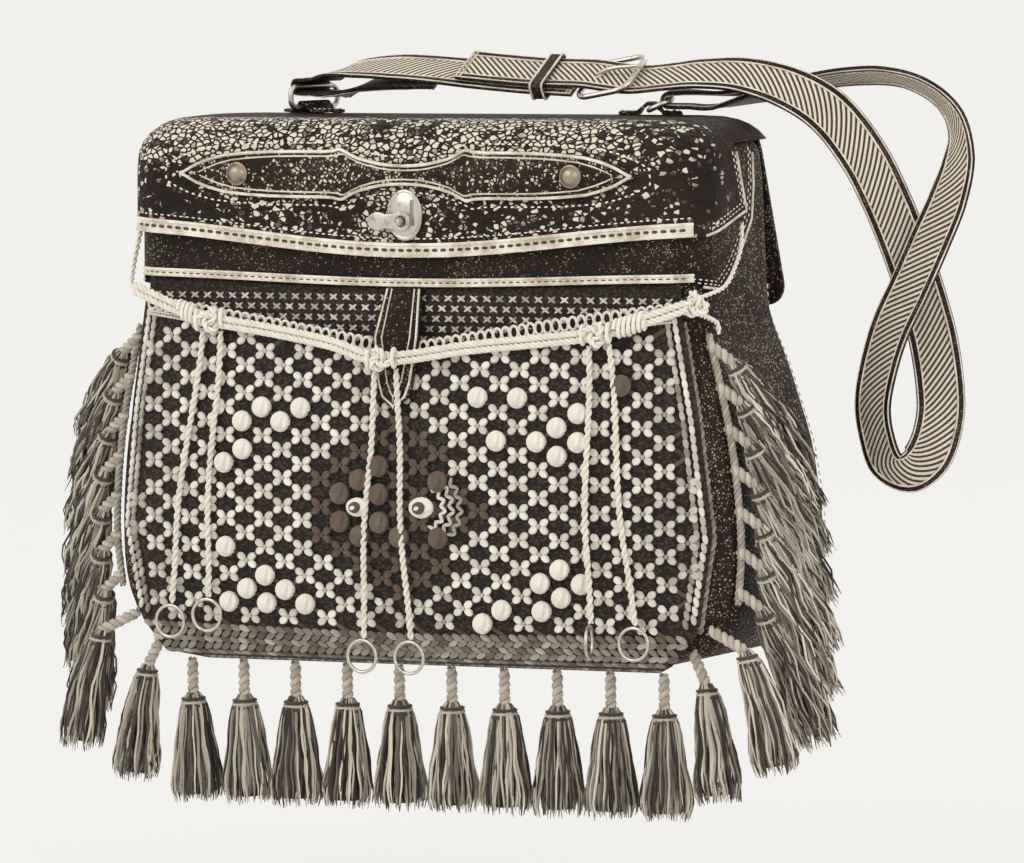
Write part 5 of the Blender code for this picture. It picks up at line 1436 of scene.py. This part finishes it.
def corner_point(z, degrees, out):
    """A place off the bag's rounded front right corner; 0 degrees is the side, 90 the front."""
    half, front, _ = section_at(z)
    angle = math.radians(degrees)
    return Vector((half - CORNER + (CORNER + out) * math.cos(angle),
                   front + CORNER - (CORNER + out) * math.sin(angle), z))


number = 10
for z, out, down, stem, skirt, lean, back in ((-0.2665, 0.45, -0.90, 0.016, 0.053, 0.10, -0.04),
                                              (-0.2540, 0.95, -0.45, 0.021, 0.058, 0.18, 0.05)):
    for sign in (-1, 1):
        number += 1
        root = corner_point(z, 60, STEM_RADIUS * 0.70 + GAP)
        heap = Heap()
        tassel(heap, (sign * root.x, root.y, root.z), (sign * out, -0.10, down), (sign * lean, back, -1), stem, skirt,
               TASSEL_RADIUS * 0.95, strands=120, wave=0.8)
        dress(heap.make("corner_tassel_%02d" % number, tassel_yarn), "tassel_yarn", "tassel_%02d" % number)


# Side fringes. Seven longer tassels on each side are looped through a thick cord that is sewn to the
# front gusset seam, and their crimped skirts lie back over the side of the bag.

SIDE_TASSELS, SEAM_TOP_DROP, SEAM_STEP, BRAID_DIAMETER, BRAID_CLEAR = 7, 0.112, 0.0205, 0.004, 0.0014
for side_name, sign, lean in (("left", -1, 0.60), ("right", 1, 0.42)):
    heap = Heap()
    braid = []
    for i in range(6):
        z = -SEAM_TOP_DROP + 0.006 - i / 5 * (SEAM_STEP * (SIDE_TASSELS - 1) + 0.012)
        spot = corner_point(z, 30, BRAID_DIAMETER / 2 + BRAID_CLEAR)
        braid.append(Vector((sign * spot.x, spot.y, z)))
    heap.rope(smooth_path(braid, 8), BRAID_DIAMETER, 0.009, plies=3, tone=0.55)
    for i in range(SIDE_TASSELS):
        z = -SEAM_TOP_DROP - i * SEAM_STEP
        root = corner_point(z, 30, BRAID_DIAMETER / 2 + BRAID_CLEAR)
        share = i / (SIDE_TASSELS - 1)
        tassel(heap, (sign * root.x, root.y, z), (sign * 0.80, 0.20, -0.62), (sign * (lean - 0.24 * share), 0.45, -1),
               0.013, 0.052 + 0.012 * share, 0.0116, strands=125, wave=1.5, longer=1.12)
    dress(heap.make("side_fringe_" + side_name, tassel_yarn), "tassel_yarn", "fringe_" + side_name)


# Strap rings. Two oblong rings of bright wire with rounded corners stand on the lid near its ends,
# the right one leaning over; the strap is turned back through them.

D_RING_X, D_RING_Y, D_RING_WIDTH, D_RING_HEIGHT = 0.097, -0.022, 0.028, 0.0110
D_RING_WIRE, D_RING_CORNER = 0.0030, 0.0042
RING_BAR_Z = D_RING_WIRE / 2 + 0.0012
RING_ROWS = [("left", -1, 68, 0), ("right", 1, 112, 65)]


def ring_axes(sign, turn, lean):
    """Base of a ring, the way along its bars, the way across it and the way up its plane."""
    turn, lean = math.radians(turn), math.radians(lean)
    base = Vector((sign * D_RING_X, D_RING_Y, RING_BAR_Z))
    across = Vector((math.sin(turn), -math.cos(turn), 0))
    return base, Vector((math.cos(turn), math.sin(turn), 0)), across, across * math.sin(lean) + Vector((0, 0, math.cos(lean)))


def wire_frame(name, centre, along, across, half_a, half_b, radius, wire):
    """An oblong frame of round wire with rounded corners, its joint in the middle of one side."""
    points = [centre - across * half_b]
    for a, b, start in ((half_a - radius, radius - half_b, 270), (half_a - radius, half_b - radius, 0),
                        (radius - half_a, half_b - radius, 90), (radius - half_a, radius - half_b, 180)):
        for step in range(11):
            turn = math.radians(start + 9 * step)
            points.append(centre + along * (a + radius * math.cos(turn)) + across * (b + radius * math.sin(turn)))
    points.append(centre - across * (half_b + 0.00001) - along * 0.0001)
    line = np.asarray([tuple(p) for p in points])
    heading = np.gradient(line, axis=0)
    heading[0] = heading[-1] = np.asarray(along)
    heading /= np.linalg.norm(heading, axis=1)[:, None]
    plane = np.asarray(along.cross(across).normalized())
    turns = 2 * np.pi * np.arange(14) / 14
    rings = line[:, None] + wire / 2 * (np.cross(heading, plane)[:, None] * np.cos(turns)[None, :, None]
                                        + plane[None, None] * np.sin(turns)[None, :, None])
    heap, count = Heap(), len(line)
    heap.add(rings.reshape(-1, 3), [(r * 14 + i, r * 14 + (i + 1) % 14, (r + 1) % count * 14 + (i + 1) % 14, (r + 1) % count * 14 + i)
                                    for r in range(count) for i in range(14)])
    return heap.make(name, bright_metal)


for side_name, sign, turn, lean in RING_ROWS:
    base, along, across, up = ring_axes(sign, turn, lean)
    dress(wire_frame("strap_ring_" + side_name, base + up * D_RING_HEIGHT / 2, along, up, (D_RING_WIDTH + D_RING_WIRE) / 2,
                     D_RING_HEIGHT / 2, D_RING_CORNER, D_RING_WIRE), "bright_metal", "d_ring_" + side_name)


# Ring loops. A short strip of hide humps over each ring's lower bar and is sewn down to the lid on
# both sides of it, with a line of stitches round each foot.

LUG_WIDTH, LUG_LENGTH, LUG_THICKNESS = 0.017, 0.032, 0.0018


def lid_top(y):
    """Height of the lid's top over the rounded back edge."""
    across_r, down_r = BACK_ROUNDING + FLAP_OUT + WALL, TOP_ROUNDING + FLAP_OUT + WALL
    past = y - (section_at(0.0)[2] + FLAP_OUT + WALL - across_r)
    return 0.0 if past < 0 else -down_r * (1 - math.sqrt(max(0.0, 1 - (past / across_r) ** 2)))


for side_name, sign, turn, lean in RING_ROWS:
    base, along, across, _ = ring_axes(sign, turn, lean)
    hump = RING_BAR_Z + D_RING_WIRE / 2 + GAP
    half = D_RING_WIRE / 2 + GAP + 0.0006
    knots = [(-LUG_LENGTH / 2, GAP), (-half - 0.008, GAP), (-half - 0.004, GAP + 0.0002), (-half, hump * 0.8),
             (-half * 0.6, hump), (half * 0.6, hump), (half, hump * 0.8), (half + 0.004, GAP + 0.0002),
             (half + 0.008, GAP), (LUG_LENGTH / 2, GAP)]
    profile = []
    for first, last in zip(knots[:-1], knots[1:]):
        profile += [tuple(np.array(first) + (np.array(last) - first) * t / 3) for t in range(3)]
    profile.append(knots[-1])
    points = []
    for a, rise in profile:
        end = min(1.0, (LUG_LENGTH / 2 - abs(a)) / 0.004)
        for side in np.linspace(-1, 1, 9):
            spot = base + across * a + along * side * LUG_WIDTH / 2 * (0.86 + 0.14 * math.sqrt(end))
            spot.z = rise if rise > hump / 2 else lid_top(spot.y) * 0.75 + rise
            points.append(spot)
    mesh = bpy.data.meshes.new("ring_loop")
    mesh.from_pydata(points, [], [(r * 9 + i, r * 9 + i + 1, (r + 1) * 9 + i + 1, (r + 1) * 9 + i)
                                  for r in range(len(profile) - 1) for i in range(8)])
    loop = bpy.data.objects.new("ring_loop_" + side_name, mesh)
    bpy.context.scene.collection.objects.link(loop)
    mesh.materials.append(dark_leather)
    if mesh.polygons[0].normal.z < 0:
        mesh.flip_normals()
    add_wall(loop, LUG_THICKNESS - 0.0002, 1, edge=0.0004)
    dress(loop, "dark_leather", "lug_" + side_name)
    sewing = Heap()
    for foot in (-1, 1):
        line = []
        for a, b in ((0.0075, -0.0068), (0.0148, -0.0064), (0.0148, 0.0064), (0.0075, 0.0068)):
            spot = base + across * a * foot + along * b
            spot.z = lid_top(spot.y) * 0.75 + GAP + LUG_THICKNESS + 0.0001
            line.append(spot)
        stitch_row(sewing, even_path(line, 0.0006), pitch=0.0034, length=0.0023, width=0.0004, tone=0.75)
    dress(sewing.make("ring_loop_stitches_" + side_name, thread), "edge_leather")


# Shoulder strap. Pale herringbone webbing is lined with dark hide, which is turned over both edges
# and piped; the long part makes a hanging loop behind the bag and ends through the right ring.

STRAP_REACH, STRAP_WIDTH, STRAP_THICKNESS = 0.250, 0.025, 0.0022
WRAP = D_RING_WIRE / 2 + GAP + STRAP_THICKNESS / 2 + 0.0003


def wrap_rows(row, reach_out):
    """The strap's turn round a ring's upper bar: in above it, round, and back out below it."""
    base, _, across, up = ring_axes(*row[1:])
    bar = base + up * D_RING_HEIGHT
    spots = [(reach_out * 0.45, WRAP * 1.15)]
    spots += [(WRAP * math.cos(math.radians(a)), WRAP * math.sin(math.radians(a))) for a in (90, 135, 180, 225, 270)]
    spots += [(reach_out * 0.45, -WRAP * 1.10), (reach_out, -WRAP * 1.25)]
    return [(*((bar + across * out + Vector((0, 0, high))) / STRAP_REACH), 90, row[2]) for out, high in spots]


# Each row: place as a share of the strap's reach, its roll, and the way its width lies when level.
SHORT_ROWS = [
    (0.232, -0.096, 0.064, 120, 90), (0.120, -0.096, 0.070, 120, 90), (0.000, -0.096, 0.080, 120, 90),
    (-0.100, -0.096, 0.089, 118, 90), (-0.190, -0.100, 0.094, 116, 88), (-0.270, -0.108, 0.092, 108, 82),
    (-0.322, -0.110, 0.084, 98, 74), *wrap_rows(RING_ROWS[0], 0.020),
    (-0.240, -0.106, 0.060, 76, 82), (-0.150, -0.098, 0.073, 66, 88), (-0.085, -0.096, 0.0775, 62, 90),
]
LONG_ROWS = [
    (-0.032, -0.096, 0.0985, 60, 90), (0.080, -0.096, 0.089, 60, 90), (0.160, -0.096, 0.084, 60, 90),
    (0.248, -0.096, 0.082, 60, 90), (0.304, -0.096, 0.0755, 60, 90), (0.360, -0.096, 0.070, 60, 90),
    (0.430, -0.096, 0.076, 60, 90), (0.504, -0.096, 0.083, 58, 90), (0.600, -0.092, 0.080, 52, 90),
    (0.700, -0.088, 0.054, 42, 90), (0.785, -0.080, 0.004, 32, 90), (0.850, -0.065, -0.080, 26, 90),
    (0.890, -0.045, -0.170, 24, 90), (0.918, -0.012, -0.272, 24, 90), (0.938, 0.012, -0.364, 26, 90),
    (0.953, 0.034, -0.453, 30, 90), (0.963, 0.042, -0.543, 34, 90), (0.962, 0.044, -0.615, 36, 90),
    (0.948, 0.024, -0.684, 34, 90), (0.916, 0.000, -0.719, 30, 90), (0.876, -0.024, -0.707, 26, 90),
    (0.860, -0.040, -0.649, 22, 90), (0.856, -0.048, -0.584, 20, 90), (0.872, -0.052, -0.510, 18, 90),
    (0.902, -0.056, -0.428, 16, 90), (0.946, -0.056, -0.344, 14, 90), (0.990, -0.056, -0.256, 14, 90),
    (1.030, -0.052, -0.170, 18, 90), (1.050, -0.040, -0.090, 28, 90), (1.036, -0.020, -0.018, 42, 90),
    (0.978, 0.000, 0.040, 56, 90), (0.890, 0.010, 0.072, 66, 90), (0.796, 0.010, 0.074, 70, 90),
    (0.700, 0.006, 0.062, 74, 92), (0.604, -0.004, 0.046, 80, 98), (0.524, -0.018, 0.040, 86, 106),
    *wrap_rows(RING_ROWS[1], 0.022), (0.592, -0.008, 0.0322, 100, 98), (0.690, 0.005, 0.0490, 105, 92),
]

weave = Finish("strap_webbing")
chart = weave.node("UVMap", {"uv_map": "cloth"})
across_strap, along_strap, _ = (weave.node("SeparateXYZ", {}, [chart], out=i) for i in range(3))
slant = across_strap * 1.1 + along_strap
stripe = slant.sum("FRACT", slant * (1 / 0.0036))
rib = abs(stripe - 0.5) * 2
thread_run = weave.noise(weave.node("VectorMath", {"operation": "MULTIPLY"}, [chart, (4200, 500, 1)]), 1.0, 2.0)
soil = weave.noise(weave.spots(), 40.0, 3.0)
groove = rib.step(0.30, 0.62)
weave.paint(weave.mix(groove, (0.045, 0.030, 0.019, 1),
                      weave.mix(thread_run * 0.5 + soil * 0.5, (0.55, 0.46, 0.33, 1), (0.87, 0.80, 0.67, 1))),
            rough=0.86 - groove * 0.08, height=groove * 0.8 + thread_run * 0.2, depth=0.0003)

HALF_STRAP, HALF_WEB = STRAP_WIDTH / 2, 0.0082
WEB = [(HALF_WEB + 0.0008, 0.0), (HALF_WEB + 0.0008, 0.0005), (HALF_WEB * 0.5, 0.0009), (0, 0.0010),
       (-HALF_WEB * 0.5, 0.0009), (-HALF_WEB - 0.0008, 0.0005), (-HALF_WEB - 0.0008, 0.0)]
LINING = [(HALF_STRAP - 0.0006, -0.00005), (0.0, -0.00005), (0.0006 - HALF_STRAP, -0.00005),
          (0.0002 - HALF_STRAP, -0.0007), (0.0009 - HALF_STRAP, -0.0011), (0.0, -0.0010),
          (HALF_STRAP - 0.0009, -0.0011), (HALF_STRAP - 0.0002, -0.0007)]
FOLD = [(HALF_WEB, 0.0001), (HALF_WEB, 0.0009), (HALF_WEB + 0.0006, 0.0011), (HALF_STRAP - 0.0010, 0.0011),
        (HALF_STRAP - 0.0003, 0.0008), (HALF_STRAP, 0.0002), (HALF_STRAP - 0.0001, -0.0004),
        (HALF_STRAP - 0.0012, -0.0001)]
strap_leather = leather("strap_hide", (0.014, 0.009, 0.006), (0.30, 0.23, 0.16), amount=0.10, grain=1500.0,
                        rough=0.45, depth=0.0002)
for part, rows in (("short", SHORT_ROWS), ("long", LONG_ROWS)):
    spots = [Vector(row[:3]) * STRAP_REACH for row in rows]
    widths = []
    for number, (row, spot) in enumerate(zip(rows, spots)):
        tangent = (spots[min(number + 1, len(spots) - 1)] - spots[max(number - 1, 0)]).normalized()
        level = Vector((math.cos(math.radians(row[4])), math.sin(math.radians(row[4])), 0))
        upright = tangent.cross(level).normalized()
        width = upright * math.cos(math.radians(row[3])) + level * math.sin(math.radians(row[3]))
        widths.append((width - tangent * width.dot(tangent)).normalized())
    path = smooth_path(spots, 6)
    share = np.linspace(0, len(rows) - 1, len(path))
    path = np.asarray([tuple(p) for p in path])
    heading = np.gradient(path, axis=0)
    heading /= np.linalg.norm(heading, axis=1)[:, None]
    side = np.column_stack([np.interp(share, np.arange(len(rows)), [w[i] for w in widths]) for i in range(3)])
    side -= heading * (side * heading).sum(1)[:, None]
    side /= np.linalg.norm(side, axis=1)[:, None]
    out = np.cross(side, heading)
    if out[0] @ (0, -1, 0.6) < 0:
        out = -out
    dress(sweep("strap_webbing_" + part, path, side, out, WEB, weave.material), "webbing", "strap_" + part)
    dress(sweep("strap_lining_" + part, path, side, out, LINING, strap_leather), "dark_leather")
    for edge, name in ((1, "upper"), (-1, "lower")):
        fold_rows = [(a * edge, b) for a, b in FOLD]
        dress(sweep("strap_fold_%s_%s" % (part, name), path, side, out, fold_rows, strap_leather), "dark_leather")
    piping = Heap()
    for a, size in ((HALF_WEB + 0.0004, 0.00055), (-HALF_WEB - 0.0004, 0.00055), (HALF_STRAP - 0.0008, 0.00050),
                    (0.0008 - HALF_STRAP, 0.00050)):
        piping.tube(path + side * a + out * (0.00085 if abs(a) < 0.010 else 0.00080), size, sides=5, tone=0.85)
    dress(piping.make("strap_piping_" + part, edge_leather), "edge_leather")
    tips = Heap()
    for end in (0, -1):
        inward = heading[end] * (0.0007 if end == 0 else -0.0007)
        line = [path[end] + inward + side[end] * a + out[end] * 0.0011
                for a in np.linspace(0.0008 - HALF_STRAP, HALF_STRAP - 0.0008, 9)]
        tips.tube(line, 0.0007, sides=6, tone=0.9)
        tips.tube([p + inward * 3.0 for p in line], 0.0005, sides=6, tone=0.7)
    dress(tips.make("strap_tips_" + part, edge_leather), "edge_leather")


# Strap buckle. A bowed frame of bright wire; the strap comes in over its left bar and leaves under
# the right one, and a curved prong comes up through a hole and rests on the frame.

BUCKLE_LENGTH, BUCKLE_WIDTH, BUCKLE_WIRE, BUCKLE_TILT = 0.028, 0.032, 0.0030, math.radians(10)
STRAP_ROLL = math.radians(60)
STRAP_ACROSS = Vector((0, math.sin(STRAP_ROLL), math.cos(STRAP_ROLL)))
STRAP_OUT = Vector((0, -math.cos(STRAP_ROLL), math.sin(STRAP_ROLL)))
centre = Vector(LONG_ROWS[4][:3]) * STRAP_REACH
along = Vector((math.cos(BUCKLE_TILT), 0, math.sin(BUCKLE_TILT)))
frame_item = wire_frame("buckle_frame_wire", centre, along, STRAP_ACROSS, BUCKLE_LENGTH / 2, BUCKLE_WIDTH / 2,
                        0.0065, BUCKLE_WIRE)
for point in frame_item.data.vertices:
    reach = (point.co - centre).dot(along)
    aside = (point.co - centre).dot(STRAP_ACROSS) / (BUCKLE_WIDTH / 2)
    if reach > 0.005:
        point.co += along * 0.0012 * max(0.0, 1 - aside ** 2)
        point.co += (STRAP_OUT * (point.co - centre).dot(STRAP_OUT)) * 0.25 * max(0.0, 1 - aside ** 2)
dress(frame_item, "bright_metal", "buckle_frame")
prong = Heap()
line = [centre + along * a + STRAP_OUT * b for a, b in
        ((-0.0075, 0.0012), (-0.0055, 0.0034), (-0.001, 0.0047), (0.005, 0.0048), (0.010, 0.0042),
         (0.0150, 0.0036), (0.0174, 0.0026))]
line = smooth_path(line, 5)
prong.tube(line, [0.0014 - 0.0006 * i / (len(line) - 1) for i in range(len(line))], sides=12)
hole = [centre + along * (-0.0068 + 0.0024 * math.cos(a)) + STRAP_OUT * 0.00265 + STRAP_ACROSS * 0.0022 * math.sin(a)
        for a in np.linspace(0, 2 * math.pi, 25)]
prong.tube(hole, 0.0006, sides=8)
dress(prong.make("buckle_prong", bright_metal), "bright_metal")


# Strap keeper. A band of the strap's hide goes round both layers and is closed at the back; its
# two edges are piped like the strap's.

upper_row, lower_z = LONG_ROWS[2], SHORT_ROWS[1][2] - 0.002
centre = Vector((upper_row[0], upper_row[1], (upper_row[2] + lower_z) / 2)) * STRAP_REACH
half_w = STRAP_WIDTH / 2 + 0.0014
half_t = (upper_row[2] - lower_z) / 2 * STRAP_REACH + STRAP_THICKNESS / 2 + GAP / 2
KEEPER_LENGTH, KEEPER_THICKNESS, BEND = 0.008, 0.0015, 0.0010
points, outs = [], []
for a, b, start in ((BEND - half_w, BEND - half_t, 180), (half_w - BEND, BEND - half_t, 270),
                    (half_w - BEND, half_t - BEND, 0), (BEND - half_w, half_t - BEND, 90)):
    for step in range(7):
        turn = math.radians(start + 15 * step)
        facing = STRAP_ACROSS * math.cos(turn) + STRAP_OUT * math.sin(turn)
        points.append(centre + STRAP_ACROSS * a + STRAP_OUT * b + facing * BEND)
        outs.append(facing)
points.append(points[0] - STRAP_OUT * 0.00005)
outs.append(outs[0])
BAND = [(-KEEPER_LENGTH / 2, 0.0004), (-KEEPER_LENGTH / 2, 0.0011), (0.0006 - KEEPER_LENGTH / 2, KEEPER_THICKNESS),
        (0, KEEPER_THICKNESS + 0.0001), (KEEPER_LENGTH / 2 - 0.0006, KEEPER_THICKNESS),
        (KEEPER_LENGTH / 2, 0.0011), (KEEPER_LENGTH / 2, 0.0004),
        (KEEPER_LENGTH / 2 - 0.0005, 0), (0.0005 - KEEPER_LENGTH / 2, 0)]
dress(sweep("strap_keeper_band", points, [Vector((1, 0, 0))] * len(points), outs, BAND, strap_leather),
      "dark_leather", "strap_keeper")
keeper_edges = Heap()
for a in (0.0007 - KEEPER_LENGTH / 2, KEEPER_LENGTH / 2 - 0.0007):
    keeper_edges.tube([p + Vector((a, 0, 0)) + o * (KEEPER_THICKNESS + 0.0002) for p, o in zip(points, outs)],
                      0.0006, sides=6, tone=0.85)
dress(keeper_edges.make("keeper_piping", edge_leather), "edge_leather")
